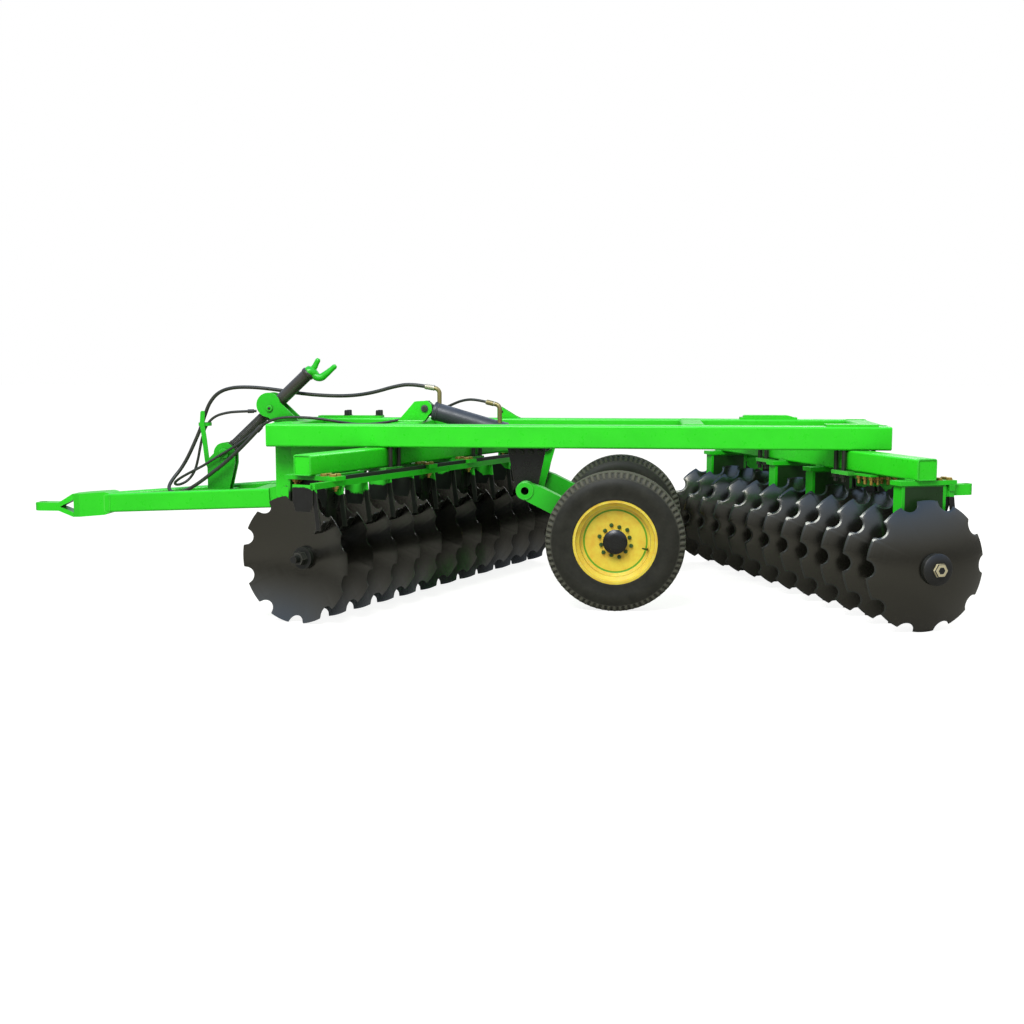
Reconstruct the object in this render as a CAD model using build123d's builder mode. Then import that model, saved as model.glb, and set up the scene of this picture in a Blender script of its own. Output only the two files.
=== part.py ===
from build123d import *

import os
from math import atan2, cos, pi, radians, sin, sqrt, tan

# An offset disc harrow: two gangs of notched discs under a box frame on a pair of lift wheels.
# The origin is the centre of the hitch hole, +X points forward, +Y left and +Z up, in millimetres.
# Places are written as (ahead of the wheel axle, left of the centre plane, height above the ground).
HITCH_AHEAD = 3504
HITCH_HEIGHT = 460

# Box frame
SIDE_BEAM = 127
CORNER_RADIUS = 12
FRAME_FRONT = 1960
FRAME_REAR = -1465
FRAME_HALF_WIDTH = 500
FRAME_TOP = 990
MIDDLE_CROSS_AHEAD = 1204
INNER_REAR_CROSS_AHEAD = -420
TOP_PLATE = 12

# Disc gangs
DISC_RADIUS = 330
DISC_THICKNESS = 6
DISC_SPHERE = 660
DISC_FLAT = 66
DISC_PITCH = 230
DISC_COUNT = 12
NOTCH_COUNT = 10
NOTCH_RADIUS = 48
NOTCH_CENTRE = 340
SPOOL_FLANGE = 62
SPOOL_FLANGE_LENGTH = 14
SPOOL_WAIST = 38
SPOOL_TAPER = 60
GANG_BOLT_RADIUS = 20
JOURNAL_RADIUS = 44
RUNNING_CLEARANCE = 0.05
CONCAVE_WASHER_RADIUS = 58
CONVEX_WASHER_RADIUS = 80
END_WASHER = 22
GANG_NUT_WIDTH = 62
GANG_NUT = 36
GANG_BOLT_END = 96
GANG_BEAM = 110
GANG_BEAM_BEFORE = 42
GANG_BEAM_AFTER = 20
# name, ahead and left of the gang's middle, sweep angle, side of the axis that trails, how far
# the discs are turned about their axle
GANG_TABLE = {
    "front": (1149, 13, 22.0, -1, 18),
    "rear": (-1084, -73, 180 - 21.3, 1, 0),
}

# Gang clamps and hangers
CLAMP_PLATE = 20
CLAMP_BOLT_RADIUS = 12
CLAMP_BOLT_GAP = 5
CLAMP_BOLT_END = 42
CLAMP_NUT_WIDTH = 36
CLAMP_NUT = 20
HANGER_GAPS = (0, 4, 6, 10)
HANGER_OFFSET = 117
HANGER_DEPTH = 78
HANGER_HALF_WIDTH = 123
HANGER_OPENING = 65
HANGER_PLATE = 14
HANGER_FLANGE = 12
HANGER_TOP_PLATE = 22
HANGER_TOP_HALF_WIDTH = 140
HANGER_ARCH_TOP = 633
HANGER_FOOT = 272
BEARING_RADIUS = 59
BEARING_LENGTH = 88
BEARING_FLANGE = 12
BEARING_FLANGE_HALF_WIDTH = 115
BEARING_FLANGE_HALF_HEIGHT = 46
SCRAPER_BAR = 30
SCRAPER_BAR_OFFSET = 150
SCRAPER_SETBACK = 30
SCRAPER_STEM = 8
SCRAPER_STEM_WIDTH = 28
SCRAPER_BLADE_INNER = 205
SCRAPER_BLADE_OUTER = 295
SCRAPER_ANGLE = 45
SCRAPER_GAP = 6
TOW_ARM_WIDTH = 60
TOW_ARM_HEIGHT = 56
TOW_ARM_REACH = 290
TOW_EYE_RADIUS = 20

# Drawbar and its hinge
HINGE_AHEAD = 1893
HINGE_HEIGHT = 596
HINGE_LEFT = 300
HINGE_PIN_RADIUS = 17.5
HINGE_LUG = 30
HINGE_LUG_RADIUS = 45
HINGE_CHEEK = 18
HINGE_SIDE_GAP = 4
HINGE_HEAD = 10
RAIL_DEPTH = 112
RAIL_WIDTH = 70
RAIL_FRONT = (3110, 40, 487)
RAIL_REAR = (1990, 296, 556)
TIE_AHEADS = (2390, 2080)
TIE_WIDTH = 130
TIE_DEPTH = 60
SLEEVE_FRONT = 3300
SLEEVE_TAPER = 3240
SLEEVE_REAR = 3085
SLEEVE_HALF_WIDTH = 82
HITCH_PLATE = 22
HITCH_HOLE_RADIUS = 25
HITCH_EYE_RADIUS = 45
HITCH_THROAT = 3390
TONGUE_HALF_DEPTH = 25

# Levelling screw
TRUNNION = (2060, 1062)
SCREW_PIN = (2350, 792)
TUBE_RADIUS = 37
TUBE_BELOW = 70
TUBE_ABOVE = 312
FORK_PRONG = 24
FORK_LEAN = 8
FORK_SEAT = 7
# where each prong of the handle's fork stands across it, and how far it reaches
FORK_PRONGS = [(-31, 93), (60, 126)]
SCREW_RADIUS = 31
SCREW_OVERLAP = 190
SCREW_EYE_RADIUS = 44
SCREW_EYE = 40
SCREW_PIN_RADIUS = 14
SCREW_PIN_DRIFT = 3
TRUNNION_RADIUS = 18
EAR_PLATE = 16
EAR_RADIUS = 72
TOWER_PLATE = 16
TOWER_RADIUS = 64
PLATE_GAP = 5

# Lift linkage
LIFT_AHEAD = 505
LIFT_HEIGHT = 628
ROCKSHAFT_RADIUS = 44.5
ROCKSHAFT_BORE = 22
ARM_INNER = 415
ARM_WIDTH = 80
ARM_DEPTH = 120
ARM_BELOW = 47
LEVER_PIN = (430, 858)
LEVER = 30
LEVER_HUB_RADIUS = 72
LEVER_HEAD_RADIUS = 62
LIFT_PIN_RADIUS = 16
EYE_DRIFT = 24
CYLINDER_PIN = (1137, 1064)
CYLINDER_RADIUS = 52.5
CYLINDER_EYE = 40
CYLINDER_EYE_RADIUS = 42
CYLINDER_PIN_RADIUS = 20
BARREL_START = 50
BARREL_END = 498
ROD_RADIUS = 25
ROD_INNER_END = 190
CLEVIS_THROAT = 92
CLEVIS_BASE = 25
CLEVIS_CHEEK = 18
HANGER_BLOCK = 20
HANGER_BLOCK_LEFT = 386

# Wheels
TYRE_RADIUS = 377
TYRE_WIDTH = 211
TRACK = 1252
RIM_RADIUS = 222
RIM_FLANGE_RADIUS = 236
RIM_BEAD = 88
RIM_WALL = 8
WHEEL_DISC = 10
WHEEL_DISC_OFFSET = 20
HUB_FACE = 66
STUB_RADIUS = 30
HUB_RADIUS = 62
HUB_CAP_RADIUS = 66

# Plates on the side beams: side, rear end and front end
TOP_PLATES = [
    (1, -1397, -1123),
    (-1, -1060, -720),
    (-1, 1480, 1880),
]
LOCK_AHEAD = 758
LOCK_LEFT = -436
LOCK_HEIGHT = 64
LOCK_PLATE = 10
LOCK_GAP = 50

# Where the oil ports lie along the lift cylinder, from its rear pin
CAP_PORT = 92
ROD_PORT = 460

# Hoses: ahead, left and height of each point of their routes, from the cylinder to the coupler
HOSE_RADIUS = 11
RETURN_HOSE_RADIUS = 8
FITTING_RADIUS = 13
FERRULE_RADIUS = 15
FERRULE = 42
COUPLER = 52
HOSE_ROUTE = [
    (1135, 0, 1191),
    (1225, -2, 1207),
    (1330, -14, 1190),
    (1450, -32, 1155),
    (1590, -52, 1133),
    (1760, -62, 1134),
    (1920, -66, 1148),
    (2070, -66, 1172),
    (2210, -64, 1185),
    (2330, -66, 1182),
    (2415, -70, 1152),
    (2470, -72, 1090),
    (2500, -72, 1015),
    (2528, -72, 935),
    (2567, -70, 850),
    (2606, -62, 765),
    (2648, -48, 690),
    (2692, -10, 628),
    (2700, 52, 578),
    (2642, 96, 552),
    (2562, 100, 574),
    (2484, 101, 622),
    (2410, 101, 678),
    (2335, 102, 732),
    (2262, 106, 796),
    (2190, 110, 864),
    (2125, 114, 930),
]
RETURN_HOSE_ROUTE = [
    (774, 0, 1101),
    (850, -18, 1118),
    (925, -45, 1110),
    (1000, -72, 1080),
    (1085, -90, 1038),
    (1180, -93, 1005),
    (1290, -80, 995),
    (1410, -40, 972),
    (1530, 20, 965),
    (1650, 70, 985),
    (1770, 90, 1006),
    (1880, 93, 1012),
    (1985, 92, 1010),
    (2070, 80, 985),
    (2145, 71, 928),
    (2220, 69, 872),
    (2300, 68, 820),
    (2385, 72, 772),
    (2465, 70, 722),
    (2545, 70, 682),
    (2622, 60, 642),
    (2676, 14, 606),
    (2668, -46, 590),
    (2622, -84, 612),
    (2582, -100, 668),
    (2560, -100, 740),
    (2544, -98, 815),
    (2526, -96, 888),
    (2500, -96, 955),
    (2448, -96, 1008),
    (2370, -96, 1030),
    (2300, -96, 1036),
    (2240, -96, 1038),
]

# Hose stand
STAND_PLATE = 8
STAND_LEFT = -44
STAND_TOP = 1041
STAND_LOOP_HEIGHT = 950

AXLE_X = -HITCH_AHEAD
GROUND_Z = -HITCH_HEIGHT
BEAM_BOTTOM = FRAME_TOP - SIDE_BEAM
SIDE_LEFT = FRAME_HALF_WIDTH - SIDE_BEAM / 2
GANG_BEAM_BOTTOM = BEAM_BOTTOM - GANG_BEAM
DISH = sqrt(DISC_SPHERE**2 - DISC_FLAT**2) - sqrt(DISC_SPHERE**2 - DISC_RADIUS**2)


def at(ahead, left, height):
    """The point that lies this far ahead of the wheel axle, left of centre and above the ground."""
    return Vector(AXLE_X + ahead, left, GROUND_Z + height)


def side_plane(left):
    """A vertical plane along the machine: local x is ahead, local y is height, +z is to the right."""
    return Plane(origin=at(0, left, 0), x_dir=(1, 0, 0), z_dir=(0, -1, 0))


def top_plane(height):
    """A level plane: local x is ahead, local y is left."""
    return Plane(origin=at(0, 0, height), x_dir=(1, 0, 0), z_dir=(0, 0, 1))


def cross_plane(ahead):
    """A vertical plane across the machine: local x is left, local y is height, +z is forward."""
    return Plane(origin=at(ahead, 0, 0), x_dir=(0, 1, 0), z_dir=(1, 0, 0))


def gang_plane(gang, along, height=0.0):
    """A plane square to a gang's axis: local x is level, local y is height, +z is the convex side."""
    ahead, left, angle, _, _ = GANG_TABLE[gang]
    sweep = radians(angle)
    axis = Vector(-sin(sweep), -cos(sweep), 0)
    origin = at(ahead, left, height) + axis * along
    return Plane(origin=origin, x_dir=Vector(0, 0, 1).cross(axis), z_dir=axis)


def disc_along(number):
    """Where a disc's rim lies along its gang."""
    return (number - (DISC_COUNT - 1) / 2) * DISC_PITCH


def save(part, name):
    """Name a finished piece and write its STEP file."""
    part.part.label = name
    export_step(part.part, f"parts/{name}.step")


os.makedirs("parts", exist_ok=True)

# ---------------------------------------------------------------- box frame

for side_name, side in (("left", 1), ("right", -1)):
    with BuildPart() as side_beam:
        with BuildSketch(cross_plane(FRAME_REAR)):
            with Locations((side * SIDE_LEFT, FRAME_TOP - SIDE_BEAM / 2)):
                RectangleRounded(SIDE_BEAM, SIDE_BEAM, CORNER_RADIUS)
        extrude(amount=FRAME_FRONT - FRAME_REAR)
    save(side_beam, f"side_beam_{side_name}")

CROSS_BEAMS = {
    "front_cross_beam": FRAME_FRONT - SIDE_BEAM / 2,
    "middle_cross_beam": MIDDLE_CROSS_AHEAD,
    "inner_rear_cross_beam": INNER_REAR_CROSS_AHEAD,
    "rear_cross_beam": FRAME_REAR + SIDE_BEAM / 2,
}
for cross_name, ahead in CROSS_BEAMS.items():
    with BuildPart() as cross_beam:
        with BuildSketch(side_plane(0)):
            with Locations((ahead, FRAME_TOP - SIDE_BEAM / 2)):
                RectangleRounded(SIDE_BEAM, SIDE_BEAM, CORNER_RADIUS)
        extrude(amount=FRAME_HALF_WIDTH - SIDE_BEAM, both=True)
    save(cross_beam, cross_name)

# ---------------------------------------------------------------- disc gangs


def dish_point(radius, shell=0.0):
    """A point of the dish's profile: its radius, and its place from the rim towards the hub."""
    sphere = DISC_SPHERE - shell
    rim = sqrt(DISC_SPHERE**2 - DISC_RADIUS**2)
    return radius, sqrt(sphere**2 - radius**2) - rim


def blade():
    """One notched disc at the origin, its rim's plane level and its dish bulging upwards."""
    mid_outer = dish_point((DISC_RADIUS + DISC_FLAT) / 2)
    mid_inner = dish_point((DISC_RADIUS + DISC_FLAT) / 2, DISC_THICKNESS)
    flat_inner = (DISC_FLAT, DISH - DISC_THICKNESS)
    with BuildPart() as disc:
        with BuildSketch(Plane.XZ):
            with BuildLine():
                ThreePointArc((DISC_FLAT, DISH), mid_outer, (DISC_RADIUS, 0))
                Line((DISC_RADIUS, 0), dish_point(DISC_RADIUS - 1, DISC_THICKNESS))
                ThreePointArc(dish_point(DISC_RADIUS - 1, DISC_THICKNESS), mid_inner, flat_inner)
                Polyline(
                    flat_inner,
                    (GANG_BOLT_RADIUS, DISH - DISC_THICKNESS),
                    (GANG_BOLT_RADIUS, DISH),
                    (DISC_FLAT, DISH),
                )
            make_face()
        revolve(axis=Axis.Z)
        with BuildSketch(Plane.XY.offset(-DISC_THICKNESS * 2)):
            with PolarLocations(NOTCH_CENTRE, NOTCH_COUNT):
                Circle(NOTCH_RADIUS)
        extrude(amount=DISH, mode=Mode.SUBTRACT)
    return disc.part


def spool_outline(along, has_bearing):
    """The outline of the spool behind one disc, from that disc's hub to the next disc's."""
    start = along + DISH
    end = along + DISC_PITCH + DISH - DISC_THICKNESS
    waist = JOURNAL_RADIUS if has_bearing else SPOOL_WAIST
    taper = SPOOL_FLANGE_LENGTH + (0 if has_bearing else SPOOL_TAPER)
    return [
        (GANG_BOLT_RADIUS, start),
        (SPOOL_FLANGE, start),
        (SPOOL_FLANGE, start + SPOOL_FLANGE_LENGTH),
        (waist, start + taper + 0.5),
        (waist, end - taper - 0.5),
        (SPOOL_FLANGE, end - SPOOL_FLANGE_LENGTH),
        (SPOOL_FLANGE, end),
        (GANG_BOLT_RADIUS, end),
    ]


def hanger_along(gap):
    """Where the hanger in a gap between two discs starts along its gang."""
    return disc_along(gap) + HANGER_OFFSET


HUB_GAP_MIDDLE = (2 * DISH + DISC_PITCH - DISC_THICKNESS) / 2
BLADE = blade()

for gang, (_, _, _, trail, turned) in GANG_TABLE.items():
    with BuildPart() as discs:
        for number in range(DISC_COUNT):
            spot = gang_plane(gang, disc_along(number), DISC_RADIUS)
            add(spot.location * Rot(0, 0, turned) * BLADE)
    save(discs, f"{gang}_discs")

    first = disc_along(0) + DISH - DISC_THICKNESS
    last = disc_along(DISC_COUNT - 1) + DISH
    outline = [(0, first - GANG_BOLT_END), (GANG_BOLT_RADIUS, first - GANG_BOLT_END)]
    outline += [(GANG_BOLT_RADIUS, first - END_WASHER), (CONCAVE_WASHER_RADIUS, first - END_WASHER)]
    outline += [(CONCAVE_WASHER_RADIUS, first), (GANG_BOLT_RADIUS, first)]
    for number in range(DISC_COUNT - 1):
        outline += spool_outline(disc_along(number), number in HANGER_GAPS)
    outline += [(GANG_BOLT_RADIUS, last), (CONVEX_WASHER_RADIUS, last)]
    outline += [(CONVEX_WASHER_RADIUS, last + END_WASHER), (0, last + END_WASHER)]
    middle = gang_plane(gang, 0, DISC_RADIUS)
    with BuildPart() as axle:
        with BuildSketch(Plane(origin=middle.origin, x_dir=(0, 0, 1), z_dir=middle.x_dir)):
            with BuildLine():
                Polyline(*outline, close=True)
            make_face()
        revolve(axis=Axis(middle.origin, middle.z_dir))
        for nut_along in (first - END_WASHER - GANG_NUT, last + END_WASHER):
            with BuildSketch(gang_plane(gang, nut_along, DISC_RADIUS)):
                RegularPolygon(GANG_NUT_WIDTH / 2, 6, major_radius=False)
            extrude(amount=GANG_NUT)
    save(axle, f"{gang}_gang_axle")

    with BuildPart() as gang_beam:
        start = hanger_along(HANGER_GAPS[0]) - GANG_BEAM_BEFORE
        end = hanger_along(HANGER_GAPS[-1]) + HANGER_DEPTH + GANG_BEAM_AFTER
        with BuildSketch(gang_plane(gang, start, GANG_BEAM_BOTTOM + GANG_BEAM / 2)):
            RectangleRounded(GANG_BEAM, GANG_BEAM, CORNER_RADIUS)
        extrude(amount=end - start)
    save(gang_beam, f"{gang}_gang_beam")

    with BuildPart() as hangers:
        web_top = GANG_BEAM_BOTTOM - HANGER_TOP_PLATE
        for gap in HANGER_GAPS:
            start = hanger_along(gap)
            with BuildSketch(gang_plane(gang, start + HANGER_DEPTH - HANGER_PLATE)):
                with Locations((0, (HANGER_FOOT + web_top) / 2)):
                    Rectangle(2 * HANGER_HALF_WIDTH, web_top - HANGER_FOOT)
                with Locations((0, HANGER_ARCH_TOP - HANGER_OPENING)):
                    Circle(HANGER_OPENING, mode=Mode.SUBTRACT)
                with Locations((0, (HANGER_FOOT + HANGER_ARCH_TOP - HANGER_OPENING) / 2)):
                    Rectangle(
                        2 * HANGER_OPENING,
                        HANGER_ARCH_TOP - HANGER_OPENING - HANGER_FOOT,
                        mode=Mode.SUBTRACT,
                    )
            extrude(amount=HANGER_PLATE)
            with BuildSketch(gang_plane(gang, start)):
                flange_offset = HANGER_HALF_WIDTH - HANGER_FLANGE / 2
                with Locations(
                    (flange_offset, (HANGER_FOOT + web_top) / 2),
                    (-flange_offset, (HANGER_FOOT + web_top) / 2),
                ):
                    Rectangle(HANGER_FLANGE, web_top - HANGER_FOOT)
            extrude(amount=HANGER_DEPTH)
            with BuildSketch(gang_plane(gang, start - HANGER_PLATE / 2)):
                reach = SCRAPER_BAR_OFFSET + SCRAPER_BAR
                plate_middle = trail * (reach - HANGER_TOP_HALF_WIDTH) / 2
                with Locations((plate_middle, web_top + HANGER_TOP_PLATE / 2)):
                    Rectangle(reach + HANGER_TOP_HALF_WIDTH, HANGER_TOP_PLATE)
            extrude(amount=HANGER_DEPTH + HANGER_PLATE)
    save(hangers, f"{gang}_gang_hangers")

    with BuildPart() as bearings:
        for gap in HANGER_GAPS:
            hub_middle = disc_along(gap) + HUB_GAP_MIDDLE
            with BuildSketch(gang_plane(gang, hub_middle - BEARING_LENGTH / 2, DISC_RADIUS)):
                Circle(BEARING_RADIUS)
            extrude(amount=BEARING_LENGTH)
            with BuildSketch(gang_plane(gang, hanger_along(gap) + HANGER_DEPTH, DISC_RADIUS)):
                RectangleRounded(
                    2 * BEARING_FLANGE_HALF_WIDTH, 2 * BEARING_FLANGE_HALF_HEIGHT, CORNER_RADIUS
                )
            extrude(amount=BEARING_FLANGE)
        with BuildSketch(gang_plane(gang, disc_along(0), DISC_RADIUS)):
            Circle(JOURNAL_RADIUS + RUNNING_CLEARANCE)
        extrude(amount=DISC_COUNT * DISC_PITCH, mode=Mode.SUBTRACT)
    save(bearings, f"{gang}_gang_bearings")

    with BuildPart() as scraper_bar:
        start = disc_along(0) - SCRAPER_SETBACK - 2 * SCRAPER_STEM
        end = disc_along(DISC_COUNT - 1) - SCRAPER_SETBACK + SCRAPER_STEM
        with BuildSketch(gang_plane(gang, start, web_top - SCRAPER_BAR / 2)):
            with Locations((trail * SCRAPER_BAR_OFFSET, 0)):
                Rectangle(SCRAPER_BAR, SCRAPER_BAR)
        extrude(amount=end - start)
    save(scraper_bar, f"{gang}_scraper_bar")

    with BuildPart() as scrapers:
        slope = radians(SCRAPER_ANGLE)
        for number in range(DISC_COUNT):
            axis_point = gang_plane(gang, disc_along(number), DISC_RADIUS)
            outward = axis_point.x_dir * trail * cos(slope) + Vector(0, 0, 1) * sin(slope)
            inner = dish_point(SCRAPER_BLADE_INNER, DISC_THICKNESS)
            outer = dish_point(SCRAPER_BLADE_OUTER, DISC_THICKNESS)
            middle_radius = (SCRAPER_BLADE_INNER + SCRAPER_BLADE_OUTER) / 2
            dished = dish_point(middle_radius, DISC_THICKNESS)
            blade_plane = Plane(
                origin=axis_point.origin, x_dir=outward, z_dir=outward.cross(axis_point.z_dir)
            )
            with BuildSketch(blade_plane):
                with BuildLine():
                    ThreePointArc(
                        (inner[0], inner[1] - SCRAPER_GAP),
                        (dished[0], dished[1] - SCRAPER_GAP),
                        (outer[0], outer[1] - SCRAPER_GAP),
                    )
                    Polyline(
                        (outer[0], outer[1] - SCRAPER_GAP),
                        (SCRAPER_BLADE_OUTER, -SCRAPER_SETBACK - SCRAPER_STEM),
                        (SCRAPER_BLADE_INNER, -SCRAPER_SETBACK - SCRAPER_STEM),
                        (inner[0], inner[1] - SCRAPER_GAP),
                    )
                make_face()
            extrude(amount=DISC_THICKNESS / 2, both=True)
            stem_base = gang_plane(gang, disc_along(number) - SCRAPER_SETBACK - SCRAPER_STEM)
            blade_x = trail * middle_radius * cos(slope)
            blade_y = DISC_RADIUS + middle_radius * sin(slope)
            bar_x = trail * SCRAPER_BAR_OFFSET
            bar_y = web_top - SCRAPER_BAR
            half = SCRAPER_STEM_WIDTH / 2
            with BuildSketch(stem_base):
                with BuildLine():
                    Polyline(
                        (blade_x - half, blade_y - half),
                        (blade_x + half, blade_y - half),
                        (bar_x + half, bar_y),
                        (bar_x - half, bar_y),
                        close=True,
                    )
                make_face()
            extrude(amount=SCRAPER_STEM)
    save(scrapers, f"{gang}_scrapers")

with BuildPart() as tow_arm:
    arm_along = hanger_along(HANGER_GAPS[-1]) + HANGER_DEPTH / 2
    arm_top = GANG_BEAM_BOTTOM - HANGER_TOP_PLATE
    arm_plane = gang_plane("rear", arm_along, arm_top)
    arm_start = SCRAPER_BAR_OFFSET + SCRAPER_BAR / 2 + PLATE_GAP
    with BuildSketch(Plane(origin=arm_plane.origin, x_dir=arm_plane.x_dir, z_dir=(0, 0, -1))):
        with Locations(((arm_start + TOW_ARM_REACH - TOW_ARM_WIDTH / 2) / 2, 0)):
            Rectangle(TOW_ARM_REACH - TOW_ARM_WIDTH / 2 - arm_start, TOW_ARM_WIDTH)
        with Locations((TOW_ARM_REACH - TOW_ARM_WIDTH / 2, 0)):
            Circle(TOW_ARM_WIDTH / 2)
            Circle(TOW_EYE_RADIUS, mode=Mode.SUBTRACT)
    extrude(amount=TOW_ARM_HEIGHT)
save(tow_arm, "tow_eye_arm")

# ---------------------------------------------------------------- gang clamps

with BuildPart() as clamps:
    bolt_side = GANG_BEAM / 2 + CLAMP_BOLT_RADIUS + CLAMP_BOLT_GAP
    bolt_inset = SIDE_BEAM / 2 - CLAMP_BOLT_RADIUS - CORNER_RADIUS
    for gang, (_, gang_left, gang_angle, _, _) in GANG_TABLE.items():
        section = gang_plane(gang, 0)
        for side in (1, -1):
            crossing = (side * SIDE_LEFT - gang_left) / section.z_dir.Y
            length = 2 * (bolt_inset / abs(section.z_dir.Y) + bolt_side * abs(tan(radians(gang_angle))))
            with BuildSketch(gang_plane(gang, crossing - length / 2 - CLAMP_NUT_WIDTH / 2)):
                with Locations((0, GANG_BEAM_BOTTOM - CLAMP_PLATE / 2)):
                    Rectangle(2 * bolt_side + CLAMP_NUT_WIDTH, CLAMP_PLATE)
            extrude(amount=length + CLAMP_NUT_WIDTH)
            spots = []
            for across in (bolt_side, -bolt_side):
                for inset in (bolt_inset, -bolt_inset):
                    target = side * SIDE_LEFT + inset - gang_left - across * section.x_dir.Y
                    along = target / section.z_dir.Y
                    spot = section.origin + section.z_dir * along + section.x_dir * across
                    spots.append((spot.X - AXLE_X, spot.Y))
            with BuildSketch(top_plane(GANG_BEAM_BOTTOM - CLAMP_PLATE - CLAMP_BOLT_END)):
                with Locations(*spots):
                    Circle(CLAMP_BOLT_RADIUS)
            extrude(amount=CLAMP_BOLT_END + CLAMP_PLATE + GANG_BEAM)
            with BuildSketch(top_plane(GANG_BEAM_BOTTOM - CLAMP_PLATE - CLAMP_NUT)):
                with Locations(*spots):
                    RegularPolygon(CLAMP_NUT_WIDTH / 2, 6, major_radius=False)
            extrude(amount=CLAMP_NUT)
save(clamps, "gang_clamps")

# ---------------------------------------------------------------- drawbar hinge

CHEEK_OFFSET = HINGE_LUG / 2 + HINGE_SIDE_GAP

with BuildPart() as hinge_brackets:
    for side in (1, -1):
        for far_face in (CHEEK_OFFSET + HINGE_CHEEK, -CHEEK_OFFSET):
            with BuildSketch(side_plane(side * HINGE_LEFT + far_face)):
                with BuildLine():
                    Polyline(
                        (HINGE_AHEAD - 58, BEAM_BOTTOM),
                        (HINGE_AHEAD + 60, BEAM_BOTTOM),
                        (HINGE_AHEAD + 60, HINGE_HEIGHT - 20),
                        (HINGE_AHEAD + 25, HINGE_HEIGHT - 58),
                        (HINGE_AHEAD - 170, HINGE_HEIGHT - 58),
                        (HINGE_AHEAD - 205, HINGE_HEIGHT - 20),
                        (HINGE_AHEAD - 205, HINGE_HEIGHT + 40),
                        (HINGE_AHEAD - 58, HINGE_HEIGHT + 100),
                        close=True,
                    )
                make_face()
                with Locations((HINGE_AHEAD, HINGE_HEIGHT)):
                    Circle(HINGE_PIN_RADIUS, mode=Mode.SUBTRACT)
            extrude(amount=HINGE_CHEEK)
        with BuildSketch(side_plane(side * HINGE_LEFT)):
            with Locations((HINGE_AHEAD - 180, HINGE_HEIGHT - 9)):
                Rectangle(18, 98)
        extrude(amount=CHEEK_OFFSET, both=True)
save(hinge_brackets, "drawbar_hinge_brackets")

with BuildPart() as hinge_pins:
    pin_half = CHEEK_OFFSET + HINGE_CHEEK
    for side in (1, -1):
        with BuildSketch(side_plane(side * HINGE_LEFT)):
            with Locations((HINGE_AHEAD, HINGE_HEIGHT)):
                Circle(HINGE_PIN_RADIUS)
        extrude(amount=pin_half, both=True)
        for far_face in (pin_half + HINGE_HEAD, -pin_half):
            with BuildSketch(side_plane(side * HINGE_LEFT + far_face)):
                with Locations((HINGE_AHEAD, HINGE_HEIGHT)):
                    Circle(HINGE_PIN_RADIUS * 1.7)
            extrude(amount=HINGE_HEAD)
save(hinge_pins, "drawbar_hinge_pins")

# ---------------------------------------------------------------- drawbar

for side_name, side in (("left", 1), ("right", -1)):
    rail_start = at(RAIL_FRONT[0], side * RAIL_FRONT[1], RAIL_FRONT[2])
    rail_end = at(RAIL_REAR[0], side * RAIL_REAR[1], RAIL_REAR[2])
    run = rail_end - rail_start
    across = Vector(0, 0, 1).cross(run).normalized()
    with BuildPart() as rail:
        with BuildSketch(Plane(origin=rail_start, x_dir=across, z_dir=run)):
            RectangleRounded(RAIL_WIDTH, RAIL_DEPTH, CORNER_RADIUS)
        extrude(amount=run.length)
        with BuildSketch(side_plane(side * HINGE_LEFT)):
            with Locations((HINGE_AHEAD, HINGE_HEIGHT)):
                Circle(HINGE_LUG_RADIUS)
            with BuildLine():
                Polyline(
                    (HINGE_AHEAD, HINGE_HEIGHT + HINGE_LUG_RADIUS),
                    (RAIL_REAR[0] + 20, RAIL_REAR[2] + RAIL_DEPTH / 2),
                    (RAIL_REAR[0] + 20, RAIL_REAR[2] - RAIL_DEPTH / 2 + 10),
                    (HINGE_AHEAD, HINGE_HEIGHT - HINGE_LUG_RADIUS),
                    close=True,
                )
            make_face()
            with Locations((HINGE_AHEAD, HINGE_HEIGHT)):
                Circle(HINGE_PIN_RADIUS + RUNNING_CLEARANCE, mode=Mode.SUBTRACT)
        extrude(amount=HINGE_LUG / 2, both=True)
    save(rail, f"drawbar_rail_{side_name}")


RAIL_SLANT = atan2(RAIL_REAR[1] - RAIL_FRONT[1], RAIL_FRONT[0] - RAIL_REAR[0])


def rail_at(ahead):
    """The left rail's centre line at a place ahead of the axle: its left place and its height."""
    share = (ahead - RAIL_FRONT[0]) / (RAIL_REAR[0] - RAIL_FRONT[0])
    left = RAIL_FRONT[1] + share * (RAIL_REAR[1] - RAIL_FRONT[1])
    height = RAIL_FRONT[2] + share * (RAIL_REAR[2] - RAIL_FRONT[2])
    return left, height


def tie_top(ahead):
    """The height of a drawbar tie's top, just under the rounded corners of the rails."""
    return rail_at(ahead + TIE_WIDTH / 2)[1] + RAIL_DEPTH / 2 - CORNER_RADIUS


with BuildPart() as ties:
    for ahead in TIE_AHEADS:
        left, _ = rail_at(ahead + TIE_WIDTH / 2)
        spread = rail_at(ahead - TIE_WIDTH / 2)[0] - left
        half = left - RAIL_WIDTH / 2 / cos(RAIL_SLANT)
        with BuildSketch(top_plane(tie_top(ahead) - TIE_DEPTH)):
            with BuildLine():
                Polyline(
                    (ahead + TIE_WIDTH / 2, half),
                    (ahead - TIE_WIDTH / 2, half + spread),
                    (ahead - TIE_WIDTH / 2, -half - spread),
                    (ahead + TIE_WIDTH / 2, -half),
                    close=True,
                )
            make_face()
        extrude(amount=TIE_DEPTH)
save(ties, "drawbar_ties")

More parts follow.
